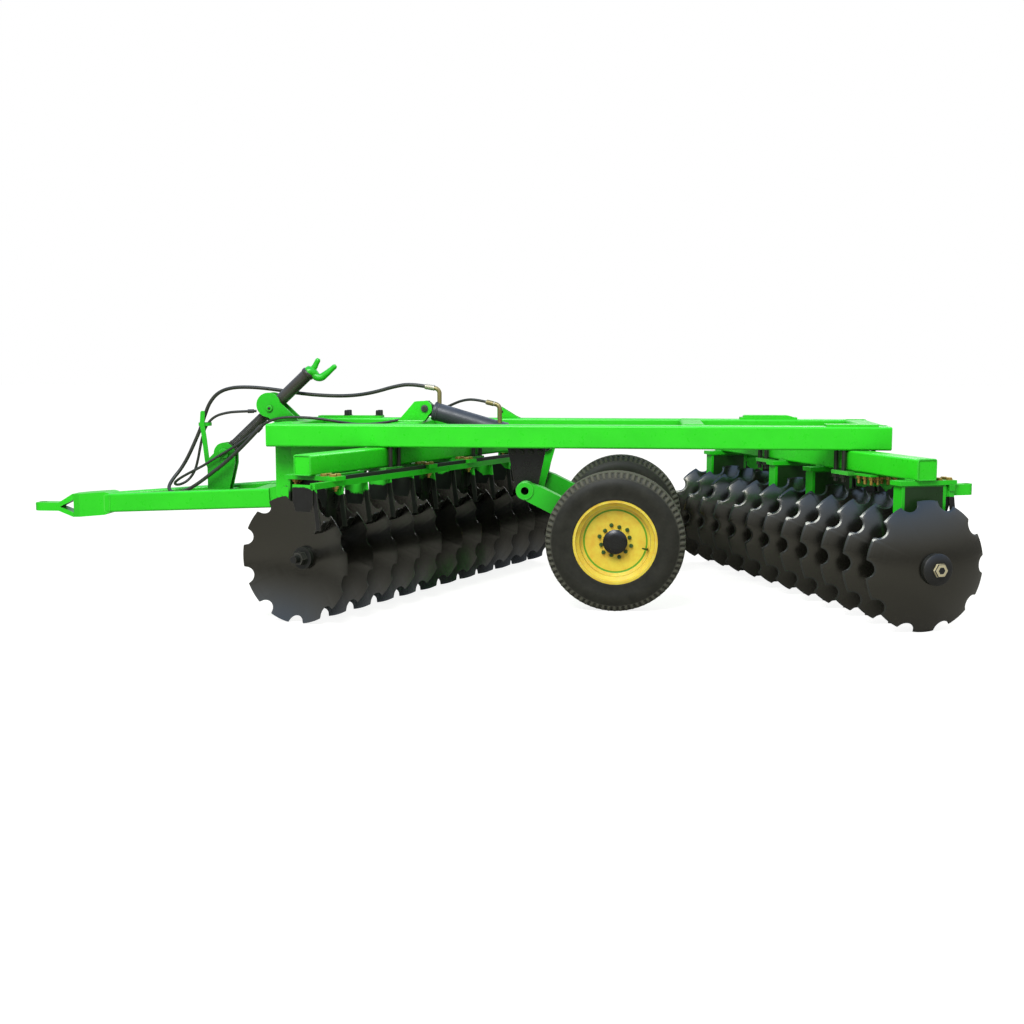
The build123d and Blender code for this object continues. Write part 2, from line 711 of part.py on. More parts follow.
with BuildPart() as hitch:
    with BuildSketch(side_plane(0)):
        with BuildLine():
            FilletPolyline(
                (HITCH_AHEAD + HITCH_EYE_RADIUS, HITCH_HEIGHT + TONGUE_HALF_DEPTH),
                (HITCH_THROAT, HITCH_HEIGHT + TONGUE_HALF_DEPTH),
                (SLEEVE_FRONT, HITCH_HEIGHT + 80),
                (SLEEVE_REAR, HITCH_HEIGHT + 96),
                (SLEEVE_REAR - 35, HITCH_HEIGHT + 88),
                (SLEEVE_REAR - 35, HITCH_HEIGHT - 24),
                (SLEEVE_REAR, HITCH_HEIGHT - 42),
                (SLEEVE_FRONT, HITCH_HEIGHT - 61),
                (HITCH_THROAT, HITCH_HEIGHT - TONGUE_HALF_DEPTH),
                (HITCH_AHEAD + HITCH_EYE_RADIUS, HITCH_HEIGHT - TONGUE_HALF_DEPTH),
                radius=15,
                close=True,
            )
        make_face()
        with BuildLine():
            Polyline(
                (HITCH_THROAT - 8, HITCH_HEIGHT),
                (SLEEVE_FRONT - 8, HITCH_HEIGHT + 80 - HITCH_PLATE * 1.6),
                (SLEEVE_FRONT - 8, HITCH_HEIGHT - 61 + HITCH_PLATE * 1.2),
                close=True,
            )
        make_face(mode=Mode.SUBTRACT)
    extrude(amount=SLEEVE_HALF_WIDTH, both=True)
    with BuildSketch(top_plane(HITCH_HEIGHT)):
        with BuildLine():
            Polyline(
                (SLEEVE_REAR - 40, -SLEEVE_HALF_WIDTH),
                (SLEEVE_TAPER, -SLEEVE_HALF_WIDTH),
                (SLEEVE_FRONT, -HITCH_EYE_RADIUS),
                (HITCH_AHEAD, -HITCH_EYE_RADIUS),
                (HITCH_AHEAD, HITCH_EYE_RADIUS),
                (SLEEVE_FRONT, HITCH_EYE_RADIUS),
                (SLEEVE_TAPER, SLEEVE_HALF_WIDTH),
                (SLEEVE_REAR - 40, SLEEVE_HALF_WIDTH),
                close=True,
            )
        make_face()
        with Locations((HITCH_AHEAD, 0)):
            Circle(HITCH_EYE_RADIUS)
            Circle(HITCH_HOLE_RADIUS, mode=Mode.SUBTRACT)
    extrude(amount=SLEEVE_FRONT, both=True, mode=Mode.INTERSECT)
    for side in (1, -1):
        rail_start = at(RAIL_FRONT[0], side * RAIL_FRONT[1], RAIL_FRONT[2])
        run = at(RAIL_REAR[0], side * RAIL_REAR[1], RAIL_REAR[2]) - rail_start
        across = Vector(0, 0, 1).cross(run).normalized()
        with BuildSketch(Plane(origin=rail_start, x_dir=across, z_dir=run)):
            RectangleRounded(RAIL_WIDTH, RAIL_DEPTH, CORNER_RADIUS)
        extrude(amount=run.length / 2, mode=Mode.SUBTRACT)
save(hitch, "hitch_head")

# ---------------------------------------------------------------- levelling screw

screw_run = Vector(TRUNNION[0] - SCREW_PIN[0], 0, TRUNNION[1] - SCREW_PIN[1])
screw_dir = screw_run.normalized()
trunnion_point = at(TRUNNION[0], 0, TRUNNION[1])
screw_point = at(SCREW_PIN[0], 0, SCREW_PIN[1])


def screw_plane(base, along):
    """A plane square to the levelling screw: local x is left, +z is up the screw."""
    return Plane(origin=base + screw_dir * along, x_dir=(0, 1, 0), z_dir=screw_dir)


EAR_LEFT = TUBE_RADIUS + PLATE_GAP + 6
SHANK = TOWER_RADIUS + 16

with BuildPart() as tube:
    with BuildSketch(screw_plane(trunnion_point, -TUBE_BELOW)):
        Circle(TUBE_RADIUS)
    extrude(amount=TUBE_BELOW + TUBE_ABOVE)
    with BuildSketch(side_plane(EAR_LEFT + EAR_PLATE + 8)):
        with Locations(TRUNNION):
            Circle(TRUNNION_RADIUS)
    extrude(amount=2 * (EAR_LEFT + EAR_PLATE + 8))
    with BuildSketch(side_plane(EAR_LEFT - PLATE_GAP)):
        with Locations(TRUNNION):
            Circle(TRUNNION_RADIUS + 12)
    extrude(amount=2 * (EAR_LEFT - PLATE_GAP))
    with BuildSketch(screw_plane(trunnion_point, -TUBE_BELOW)):
        Circle(SCREW_RADIUS + RUNNING_CLEARANCE)
    extrude(amount=TUBE_BELOW + TUBE_ABOVE - 20, mode=Mode.SUBTRACT)
save(tube, "levelling_tube")

with BuildPart() as handle:
    fork_top = trunnion_point + screw_dir * (TUBE_ABOVE - FORK_SEAT)
    fork_dir = screw_dir.rotate(Axis.Y, FORK_LEAN)
    fork_gap = FORK_PRONGS[1][0] - FORK_PRONGS[0][0] - FORK_PRONG
    fork_middle = (FORK_PRONGS[0][0] + FORK_PRONGS[1][0]) / 2
    with BuildSketch(Plane(origin=fork_top, x_dir=fork_dir, z_dir=(0, 1, 0))):
        with Locations((fork_gap / 2 + 3, fork_middle)):
            Rectangle(fork_gap, fork_gap + FORK_PRONG)
            fillet(vertices().group_by(Axis.X)[0], fork_gap / 2)
        for place, reach in FORK_PRONGS:
            with Locations(((reach + FORK_PRONG) / 2, place)):
                SlotOverall(reach - FORK_PRONG, FORK_PRONG)
        with Locations((FORK_PRONG + fork_gap / 2, fork_middle)):
            Circle(fork_gap / 2, mode=Mode.SUBTRACT)
        with Locations((FORK_PRONG + fork_gap, fork_middle)):
            Rectangle(fork_gap, fork_gap, mode=Mode.SUBTRACT)
    extrude(amount=FORK_PRONG / 2, both=True)
    with BuildSketch(screw_plane(trunnion_point, 0)):
        Circle(TUBE_RADIUS)
    extrude(amount=TUBE_ABOVE, mode=Mode.SUBTRACT)
save(handle, "levelling_handle")

with BuildPart() as screw:
    with BuildSketch(screw_plane(screw_point, SHANK)):
        Circle(SCREW_RADIUS)
    extrude(amount=screw_run.length + SCREW_OVERLAP - SHANK)
    with BuildSketch(screw_plane(screw_point, 0)):
        Rectangle(SCREW_EYE, 2 * SCREW_RADIUS)
    extrude(amount=SHANK)
    with BuildSketch(side_plane(SCREW_EYE / 2)):
        with Locations(SCREW_PIN):
            Circle(SCREW_EYE_RADIUS)
    extrude(amount=SCREW_EYE)
    pin_half = SCREW_EYE / 2 + PLATE_GAP + TOWER_PLATE + 4
    with BuildSketch(side_plane(pin_half)):
        with Locations(SCREW_PIN):
            Circle(SCREW_PIN_RADIUS)
    extrude(amount=2 * pin_half)
    for side in (1, -1):
        with BuildSketch(side_plane(side * (pin_half + 4) + 4)):
            with Locations(SCREW_PIN):
                Circle(SCREW_PIN_RADIUS + SCREW_PIN_DRIFT + 12)
        extrude(amount=8)
save(screw, "levelling_screw")

TOWER_LEFT = SCREW_EYE / 2 + PLATE_GAP
tower_base = tie_top(TIE_AHEADS[0])

with BuildPart() as tower:
    for far_face in (TOWER_LEFT + TOWER_PLATE, -TOWER_LEFT):
        with BuildSketch(side_plane(far_face)):
            with BuildLine():
                Polyline(
                    (SCREW_PIN[0] - TOWER_RADIUS, SCREW_PIN[1]),
                    (SCREW_PIN[0] - TOWER_RADIUS, SCREW_PIN[1] - 60),
                    (TIE_AHEADS[0] - TIE_WIDTH / 2, tower_base),
                    (TIE_AHEADS[0] + TIE_WIDTH / 2, tower_base),
                    (TIE_AHEADS[0] + TIE_WIDTH / 2, SCREW_PIN[1] - 40),
                    (SCREW_PIN[0] + TOWER_RADIUS, SCREW_PIN[1]),
                    close=True,
                )
            make_face()
            with Locations(SCREW_PIN):
                Circle(TOWER_RADIUS)
                Circle(SCREW_PIN_RADIUS + SCREW_PIN_DRIFT, mode=Mode.SUBTRACT)
        extrude(amount=TOWER_PLATE)
save(tower, "screw_tower")

with BuildPart() as ears:
    for far_face in (EAR_LEFT + EAR_PLATE, -EAR_LEFT):
        with BuildSketch(side_plane(far_face)):
            with BuildLine():
                Polyline(
                    (TRUNNION[0] - 10, TRUNNION[1] + 84),
                    (FRAME_FRONT - 75, FRAME_TOP),
                    (FRAME_FRONT, FRAME_TOP),
                    (FRAME_FRONT, FRAME_TOP - 60),
                    (TRUNNION[0] + 20, TRUNNION[1] - 48),
                    close=True,
                )
            make_face()
            with Locations((TRUNNION[0] + 8, TRUNNION[1] + 20)):
                Circle(EAR_RADIUS)
            with Locations(TRUNNION):
                Circle(TRUNNION_RADIUS + RUNNING_CLEARANCE, mode=Mode.SUBTRACT)
        extrude(amount=EAR_PLATE)
    with BuildSketch(side_plane(FRAME_HALF_WIDTH)):
        with Locations((FRAME_FRONT - SIDE_BEAM / 2, FRAME_TOP - SIDE_BEAM / 2)):
            Rectangle(SIDE_BEAM, SIDE_BEAM)
    extrude(amount=2 * FRAME_HALF_WIDTH, mode=Mode.SUBTRACT)
save(ears, "trunnion_ears")

# ---------------------------------------------------------------- rockshaft and cylinder

arm_run = Vector(-LIFT_AHEAD, 0, TYRE_RADIUS - LIFT_HEIGHT)
arm_dir = arm_run.normalized()


def arm_spot(along, aside):
    """A point of the wheel arm's outline, from the rockshaft towards the wheel axle."""
    ahead = LIFT_AHEAD + arm_dir.X * along + arm_dir.Z * aside
    return ahead, LIFT_HEIGHT + arm_dir.Z * along - arm_dir.X * aside


with BuildPart() as rockshaft:
    with BuildSketch(side_plane(FRAME_HALF_WIDTH)):
        with Locations((LIFT_AHEAD, LIFT_HEIGHT)):
            Circle(ROCKSHAFT_RADIUS)
            Circle(ROCKSHAFT_BORE, mode=Mode.SUBTRACT)
    extrude(amount=2 * FRAME_HALF_WIDTH)
save(rockshaft, "rockshaft")

with BuildPart() as arms:
    for far_face in (ARM_INNER + ARM_WIDTH, -ARM_INNER):
        with BuildSketch(side_plane(far_face)):
            with BuildLine():
                Polyline(
                    arm_spot(0, ROCKSHAFT_RADIUS + 4),
                    arm_spot(84, ARM_DEPTH / 2),
                    arm_spot(arm_run.length, ARM_DEPTH / 2),
                    arm_spot(arm_run.length, -ARM_BELOW),
                    arm_spot(50, -ARM_BELOW),
                    arm_spot(0, -ROCKSHAFT_RADIUS),
                    close=True,
                )
            make_face()
            with Locations((0, TYRE_RADIUS)):
                Circle(ARM_DEPTH / 2)
            with Locations((LIFT_AHEAD, LIFT_HEIGHT)):
                Circle(ROCKSHAFT_RADIUS, mode=Mode.SUBTRACT)
        extrude(amount=ARM_WIDTH)
save(arms, "wheel_arms")

with BuildPart() as lever:
    with BuildSketch(side_plane(LEVER / 2)):
        with Locations((LIFT_AHEAD, LIFT_HEIGHT)):
            Circle(LEVER_HUB_RADIUS)
        with Locations(LEVER_PIN):
            Circle(LEVER_HEAD_RADIUS)
        make_hull()
        with Locations((LIFT_AHEAD, LIFT_HEIGHT)):
            Circle(ROCKSHAFT_RADIUS, mode=Mode.SUBTRACT)
        with Locations(LEVER_PIN):
            Circle(LIFT_PIN_RADIUS + EYE_DRIFT, mode=Mode.SUBTRACT)
    extrude(amount=LEVER)
save(lever, "lift_lever")

cylinder_run = Vector(LEVER_PIN[0] - CYLINDER_PIN[0], 0, LEVER_PIN[1] - CYLINDER_PIN[1])
cylinder_dir = cylinder_run.normalized()
cylinder_base = at(CYLINDER_PIN[0], 0, CYLINDER_PIN[1])


def cylinder_plane(along):
    """A plane square to the lift cylinder: local x is left, +z points at the rod's eye."""
    return Plane(origin=cylinder_base + cylinder_dir * along, x_dir=(0, 1, 0), z_dir=cylinder_dir)


BRACKET_LEFT = CYLINDER_EYE / 2 + PLATE_GAP
BRACKET_PLATE = 16

with BuildPart() as bracket:
    for far_face in (BRACKET_LEFT + BRACKET_PLATE, -BRACKET_LEFT):
        with BuildSketch(side_plane(far_face)):
            with BuildLine():
                Polyline(
                    (CYLINDER_PIN[0] - 20, CYLINDER_PIN[1] + 44),
                    (CYLINDER_PIN[0] + 60, CYLINDER_PIN[1] + 40),
                    (CYLINDER_PIN[0] + 160, FRAME_TOP),
                    (CYLINDER_PIN[0] + 2, FRAME_TOP),
                    (CYLINDER_PIN[0] - 20, CYLINDER_PIN[1] - 44),
                    close=True,
                )
            make_face()
            with Locations(CYLINDER_PIN):
                Circle(CYLINDER_EYE_RADIUS + 2)
                Circle(CYLINDER_PIN_RADIUS + RUNNING_CLEARANCE, mode=Mode.SUBTRACT)
        extrude(amount=BRACKET_PLATE)
save(bracket, "cylinder_bracket")

with BuildPart() as barrel:
    with BuildSketch(cylinder_plane(BARREL_START)):
        Circle(CYLINDER_RADIUS)
    extrude(amount=BARREL_END - BARREL_START)
    with BuildSketch(cylinder_plane(0)):
        Rectangle(CYLINDER_EYE, 2 * 34)
    extrude(amount=BARREL_START)
    with BuildSketch(side_plane(CYLINDER_EYE / 2)):
        with Locations(CYLINDER_PIN):
            Circle(CYLINDER_EYE_RADIUS)
    extrude(amount=CYLINDER_EYE)
    with BuildSketch(side_plane(BRACKET_LEFT + BRACKET_PLATE + 10)):
        with Locations(CYLINDER_PIN):
            Circle(CYLINDER_PIN_RADIUS)
    extrude(amount=2 * (BRACKET_LEFT + BRACKET_PLATE + 10))
    with BuildSketch(cylinder_plane(ROD_INNER_END - 125)):
        Circle(ROD_RADIUS + RUNNING_CLEARANCE)
    extrude(amount=BARREL_END - ROD_INNER_END + 125, mode=Mode.SUBTRACT)
save(barrel, "cylinder_barrel")

with BuildPart() as rod:
    pin_to_pin = cylinder_run.length
    cheek_face = LEVER / 2 + PLATE_GAP
    fork_half = cheek_face + CLEVIS_CHEEK
    with BuildSketch(cylinder_plane(ROD_INNER_END)):
        Circle(ROD_RADIUS)
    extrude(amount=pin_to_pin - CLEVIS_THROAT - ROD_INNER_END)
    with BuildSketch(cylinder_plane(pin_to_pin - CLEVIS_THROAT - CLEVIS_BASE)):
        Rectangle(2 * fork_half, 84)
    extrude(amount=CLEVIS_BASE + CLEVIS_THROAT)
    for far_face in (fork_half, -cheek_face):
        with BuildSketch(side_plane(far_face)):
            with Locations(LEVER_PIN):
                Circle(42)
        extrude(amount=CLEVIS_CHEEK)
    with BuildSketch(side_plane(cheek_face)):
        with Locations(LEVER_PIN):
            Circle(CLEVIS_THROAT)
    extrude(amount=2 * cheek_face, mode=Mode.SUBTRACT)
    with BuildSketch(side_plane(fork_half + 10)):
        with Locations(LEVER_PIN):
            Circle(LIFT_PIN_RADIUS)
    extrude(amount=2 * fork_half + 20)
save(rod, "cylinder_rod")

with BuildPart() as rockshaft_hangers:
    for side in (1, -1):
        with BuildSketch(side_plane(side * HANGER_BLOCK_LEFT + HANGER_BLOCK / 2)):
            with BuildLine():
                Polyline(
                    (LIFT_AHEAD - 110, BEAM_BOTTOM),
                    (LIFT_AHEAD + 106, BEAM_BOTTOM),
                    (LIFT_AHEAD + 62, LIFT_HEIGHT),
                    (LIFT_AHEAD - 62, LIFT_HEIGHT),
                    close=True,
                )
            make_face()
            with Locations((LIFT_AHEAD, LIFT_HEIGHT)):
                Circle(62)
                Circle(ROCKSHAFT_RADIUS + RUNNING_CLEARANCE, mode=Mode.SUBTRACT)
        extrude(amount=HANGER_BLOCK)
save(rockshaft_hangers, "rockshaft_hangers")

# ---------------------------------------------------------------- wheels

for side_name, side in (("left", 1), ("right", -1)):
    centre = at(0, side * TRACK / 2, TYRE_RADIUS)
    wheel_axis = Axis(centre, (0, side, 0))
    section = Plane(origin=centre, x_dir=(0, 0, 1), z_dir=Vector(0, 0, 1).cross(Vector(0, side, 0)))
    half = TYRE_WIDTH / 2
    shoulder = (TYRE_RADIUS - 22, half - 16)
    tread_edge = (TYRE_RADIUS, half - 42)
    with BuildPart() as tyre:
        with BuildSketch(section):
            with BuildLine():
                Polyline((RIM_RADIUS, 0), (RIM_RADIUS, RIM_BEAD), (RIM_FLANGE_RADIUS + 2, RIM_BEAD))
                ThreePointArc((RIM_FLANGE_RADIUS + 2, RIM_BEAD), (RIM_RADIUS + 75, half), shoulder)
                ThreePointArc(shoulder, (TYRE_RADIUS - 6, half - 27), tread_edge)
                Polyline(tread_edge, (TYRE_RADIUS, 0), (RIM_RADIUS, 0))
            make_face()
            mirror(about=Plane.XZ)
        revolve(axis=wheel_axis)
    save(tyre, f"{side_name}_tyre")

    with BuildPart() as wheel:
        inside = RIM_RADIUS - RIM_WALL
        disc_face = WHEEL_DISC_OFFSET + WHEEL_DISC
        hub_bore = STUB_RADIUS + RUNNING_CLEARANCE
        with BuildSketch(section):
            with BuildLine():
                Polyline(
                    (RIM_RADIUS, -RIM_BEAD),
                    (RIM_RADIUS, RIM_BEAD),
                    (RIM_FLANGE_RADIUS, RIM_BEAD),
                    (RIM_FLANGE_RADIUS, RIM_BEAD + RIM_WALL),
                    (inside, RIM_BEAD + RIM_WALL),
                    (inside - 6, RIM_BEAD - 6),
                    (inside - 22, RIM_BEAD - 20),
                    (inside - 26, disc_face + 6),
                    (inside - 44, disc_face),
                    (HUB_RADIUS, disc_face),
                    (HUB_RADIUS, HUB_FACE),
                    (0, HUB_FACE),
                    (0, HUB_FACE - 16),
                    (hub_bore, HUB_FACE - 16),
                    (hub_bore, -HUB_FACE),
                    (HUB_RADIUS, -HUB_FACE),
                    (HUB_RADIUS, WHEEL_DISC_OFFSET),
                    (inside - 44, WHEEL_DISC_OFFSET),
                    (inside - 26, WHEEL_DISC_OFFSET - 16),
                    (inside - 26, -RIM_BEAD + 40),
                    (inside, -RIM_BEAD + 6),
                    (inside, -RIM_BEAD - RIM_WALL),
                    (RIM_FLANGE_RADIUS, -RIM_BEAD - RIM_WALL),
                    (RIM_FLANGE_RADIUS, -RIM_BEAD),
                    close=True,
                )
            make_face()
        revolve(axis=wheel_axis)
    save(wheel, f"{side_name}_rim")

    with BuildPart() as hub_cap:
        with BuildSketch(section):
            with BuildLine():
                Polyline((0, HUB_FACE), (HUB_CAP_RADIUS, HUB_FACE), (HUB_CAP_RADIUS, HUB_FACE + 6))
                ThreePointArc(
                    (HUB_CAP_RADIUS, HUB_FACE + 6),
                    (HUB_CAP_RADIUS * 0.75, HUB_FACE + 15),
                    (HUB_CAP_RADIUS * 0.4, HUB_FACE + 19),
                )
                Polyline((HUB_CAP_RADIUS * 0.4, HUB_FACE + 19), (0, HUB_FACE + 19), (0, HUB_FACE))
            make_face()
        revolve(axis=wheel_axis)
    save(hub_cap, f"{side_name}_hub_cap")

with BuildPart() as stub_axles:
    for side in (1, -1):
        start = side * (ARM_INNER + ARM_WIDTH)
        end = side * (TRACK / 2 + 45)
        with BuildSketch(Plane(origin=at(0, start, TYRE_RADIUS), z_dir=(0, side, 0))):
            Circle(STUB_RADIUS)
        extrude(amount=abs(end - start))
save(stub_axles, "stub_axles")

# ---------------------------------------------------------------- plates on the side beams

with BuildPart() as top_plates:
    for side, start, end in TOP_PLATES:
        with BuildSketch(top_plane(FRAME_TOP)):
            with Locations(((start + end) / 2, side * SIDE_LEFT)):
                RectangleRounded(end - start, SIDE_BEAM - 2 * CORNER_RADIUS, 4)
        extrude(amount=TOP_PLATE)
save(top_plates, "beam_top_plates")

with BuildPart() as lock_bracket:
    for far_face in (LOCK_LEFT + LOCK_GAP / 2 + LOCK_PLATE, LOCK_LEFT - LOCK_GAP / 2):
        with BuildSketch(side_plane(far_face)):
            with BuildLine():
                Polyline(
                    (LOCK_AHEAD, FRAME_TOP),
                    (LOCK_AHEAD, FRAME_TOP + LOCK_HEIGHT),
                    (LOCK_AHEAD - 24, FRAME_TOP + LOCK_HEIGHT + 4),
                    (LOCK_AHEAD - 112, FRAME_TOP + 14),
                    (LOCK_AHEAD - 140, FRAME_TOP),
                    close=True,
                )
            make_face()
            with Locations((LOCK_AHEAD - 26, FRAME_TOP + LOCK_HEIGHT - 22)):
                Circle(9, mode=Mode.SUBTRACT)
        extrude(amount=LOCK_PLATE)
save(lock_bracket, "transport_lock_bracket")

# ---------------------------------------------------------------- hoses

with BuildPart() as stand:
    foot = tie_top(TIE_AHEADS[0])
    with BuildSketch(side_plane(STAND_LEFT)):
        with BuildLine():
            Polyline(
                (2426, foot),
                (2434, foot + 70),
                (2470, foot + 165),
                (2484, foot + 300),
                (2496, foot + 390),
                (2492, STAND_TOP - 8),
                (2496, STAND_TOP),
                (2514, STAND_TOP),
                (2519, STAND_TOP - 8),
                (2524, foot + 390),
                (2512, foot + 300),
                (2498, foot + 165),
                (2462, foot + 70),
                (2454, foot),
                close=True,
            )
        make_face()
    extrude(amount=STAND_PLATE)
    with BuildSketch(top_plane(STAND_LOOP_HEIGHT)):
        with Locations((2504, STAND_LEFT - STAND_PLATE - 33)):
            RectangleRounded(72, 66, 20)
            RectangleRounded(64, 58, 16, mode=Mode.SUBTRACT)
    extrude(amount=20)
save(stand, "hose_stand")


def bend_radii(points):
    """The radius of the arc at each corner of a route, as large as its two runs allow."""
    radii = []
    for before, corner, after in zip(points, points[1:], points[2:]):
        half_turn = radians((corner - before).get_angle(after - corner)) / 2
        shorter = min((corner - before).length, (after - corner).length)
        radii.append(0.45 * shorter / tan(half_turn))
    return radii


with BuildPart() as fittings:
    for port, route in ((CAP_PORT, HOSE_ROUTE), (ROD_PORT, RETURN_HOSE_ROUTE)):
        hose_start = at(*route[0])
        away = (at(*route[1]) - hose_start).normalized()
        elbow = hose_start - away * (FERRULE + 40)
        foot = Vector(elbow.X, elbow.Y, cylinder_plane(port).origin.Z)
        with BuildLine():
            FilletPolyline(foot, elbow, hose_start, radius=30)
        with BuildSketch(Plane(origin=foot, x_dir=(1, 0, 0), z_dir=(0, 0, 1))):
            Circle(FITTING_RADIUS)
        sweep()
        with BuildSketch(Plane(origin=hose_start, z_dir=-away)):
            Circle(FERRULE_RADIUS)
        extrude(amount=FERRULE)
    with BuildSketch(cylinder_plane(BARREL_START - 60)):
        Circle(CYLINDER_RADIUS)
    extrude(amount=BARREL_END, mode=Mode.SUBTRACT)
save(fittings, "cylinder_fittings")

HOSES = {
    "lift_hose": (HOSE_ROUTE, HOSE_RADIUS),
    "return_hose": (RETURN_HOSE_ROUTE, RETURN_HOSE_RADIUS),
}
for hose_name, (route, hose_radius) in HOSES.items():
    points = [at(*spot) for spot in route]
    radii = bend_radii(points)
    print(hose_name, "radii", [round(radius) for radius in radii])
    with BuildPart() as hose:
        with BuildLine() as path:
            FilletPolyline(*points, radius=radii)
        with BuildSketch(Plane(origin=points[0], z_dir=points[1] - points[0])):
            Circle(hose_radius)
        sweep()
    route_length = sum(edge.length for edge in path.edges())
    swept = hose.part.volume / (pi * hose_radius**2)
    print(hose_name, "length", round(route_length), "volume over section", round(swept))
    save(hose, hose_name)

    end_plane = Plane(origin=points[-1], z_dir=points[-1] - points[-2])
    with BuildPart() as coupler:
        with BuildSketch(end_plane):
            Circle(hose_radius + 4)
        extrude(amount=COUPLER * 0.7)
        with BuildSketch(end_plane.offset(COUPLER * 0.7)):
            Circle(hose_radius)
        extrude(amount=COUPLER * 0.3)
    save(coupler, f"{hose_name}_coupler")
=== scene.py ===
from math import radians

import bpy
import numpy as np
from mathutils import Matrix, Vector


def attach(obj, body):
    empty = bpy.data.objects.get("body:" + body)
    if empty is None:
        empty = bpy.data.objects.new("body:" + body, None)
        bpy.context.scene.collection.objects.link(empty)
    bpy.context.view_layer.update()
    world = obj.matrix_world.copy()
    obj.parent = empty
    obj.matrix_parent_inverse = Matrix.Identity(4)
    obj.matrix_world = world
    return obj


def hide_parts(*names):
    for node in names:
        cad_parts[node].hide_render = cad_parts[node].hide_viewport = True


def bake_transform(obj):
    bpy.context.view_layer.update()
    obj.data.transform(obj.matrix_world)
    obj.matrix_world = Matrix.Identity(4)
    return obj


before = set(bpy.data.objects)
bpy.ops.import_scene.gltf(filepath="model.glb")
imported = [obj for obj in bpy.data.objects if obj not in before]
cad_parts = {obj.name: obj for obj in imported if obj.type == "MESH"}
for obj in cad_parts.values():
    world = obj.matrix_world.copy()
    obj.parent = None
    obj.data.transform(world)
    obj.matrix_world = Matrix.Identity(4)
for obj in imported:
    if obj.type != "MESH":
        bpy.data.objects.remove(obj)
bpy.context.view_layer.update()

# ---------------------------------------------------------------- camera, floor and lamps
# The harrow stands on a plain pale studio floor, seen from its left side at a standing person's
# eye height, with one broad lamp over the near side, a weaker one behind and an even white sky.

LOOKS_DOWN, LOOKS_BACK = 6.4, 5.8  # degrees
view_data = bpy.data.cameras.new("camera")
view_data.lens = 47.84
view_data.sensor_width = 36
view_data.clip_end = 100
view = bpy.data.objects.new("camera", view_data)
view.location = (-3.6846, 7.9412, 0.8897)
view.rotation_euler = (radians(90 - LOOKS_DOWN), 0, radians(180 + LOOKS_BACK))
bpy.context.scene.collection.objects.link(view)
bpy.context.scene.camera = view
bpy.context.scene.view_settings.view_transform = "Standard"

FLOOR_HEIGHT = -0.460


def hex_colour(code):
    """An sRGB hex code as linear red, green and blue with an alpha of 1."""
    share = np.array([int(code[place : place + 2], 16) for place in (1, 3, 5)]) / 255
    linear = np.where(share <= 0.04045, share / 12.92, ((share + 0.055) / 1.055) ** 2.4)
    return (*linear.tolist(), 1.0)


def give(node, key, value):
    """Gives a node's input a value, or links it to a socket or to a node's first used output."""
    if isinstance(value, bpy.types.Node):
        value = next(socket for socket in value.outputs if socket.enabled)
    if isinstance(value, bpy.types.NodeSocket):
        node.id_data.links.new(value, node.inputs[key])
    else:
        node.inputs[key].default_value = value


def add_node(tree, kind, *inputs, more=None, **settings):
    """Adds one node. Settings are its properties and inputs by name, and inputs its first ones in
    their order, each a value or what is linked to it. More are inputs by number or long name."""
    made = tree.nodes.new("ShaderNode" + kind)
    for key, value in (settings | (more or {})).items():
        if isinstance(key, str) and hasattr(made, key):
            setattr(made, key, value)
        else:
            give(made, key, value)
    for place, value in enumerate(inputs):
        give(made, place, value)
    return made


# Surfaces are lit by a level white sky. What mirrors it sees it darker low down, brighter and
# bluer high up, and the camera sees plain white.
LIT_BY = 0.54
sky = bpy.data.worlds.new("studio_sky")
sky.use_nodes = True
tree = sky.node_tree
tree.nodes.clear()
rays = add_node(tree, "LightPath").outputs
direction = add_node(tree, "TexCoord").outputs["Generated"]
height = add_node(tree, "SeparateXYZ", direction).outputs["Z"]
mirrored = add_node(tree, "MapRange", height, 0.05, 0.6, 0.25, 1.35)
unseen = add_node(tree, "Mix", rays["Is Glossy Ray"], more={2: LIT_BY, 3: mirrored})
level = add_node(tree, "Mix", rays["Is Camera Ray"], more={2: unseen, 3: 1.0})
overhead = add_node(tree, "MapRange", height, 0.15, 0.75)
bluer = add_node(tree, "Math", overhead, rays["Is Glossy Ray"], operation="MULTIPLY")
tones = {6: hex_colour("#f8f8f4"), 7: hex_colour("#a9caff")}
air = add_node(tree, "Mix", bluer, data_type="RGBA", more=tones)
tones = {6: air, 7: hex_colour("#ffffff")}
hue = add_node(tree, "Mix", rays["Is Camera Ray"], data_type="RGBA", more=tones)
add_node(tree, "OutputWorld", add_node(tree, "Background", hue, level))
bpy.context.scene.world = sky

middle = Vector((-3.6, 0, 0))
for lamp_name, lamp_place, lamp_size, power in (
    ("near_lamp", (-1.7, 5.9, 6.1), 4.2, 590),
    ("far_lamp", (-5.8, -6.0, 5.0), 4.0, 160),
):
    lamp_data = bpy.data.lights.new(lamp_name, "AREA")
    lamp_data.shape = "DISK"
    lamp_data.size = lamp_size
    lamp_data.energy = power
    lamp = bpy.data.objects.new(lamp_name, lamp_data)
    lamp.location = lamp_place
    lamp.rotation_euler = (middle - Vector(lamp_place)).to_track_quat("-Z", "Y").to_euler()
    bpy.context.scene.collection.objects.link(lamp)

floor_mesh = bpy.data.meshes.new("studio_floor")
FLOOR_REACH = (-60, 60)
floor_points = [(x, y, FLOOR_HEIGHT) for y in FLOOR_REACH for x in FLOOR_REACH]
floor_mesh.from_pydata(floor_points, [], [(0, 1, 3, 2)])
floor = bpy.data.objects.new("studio_floor", floor_mesh)
bpy.context.scene.collection.objects.link(floor)

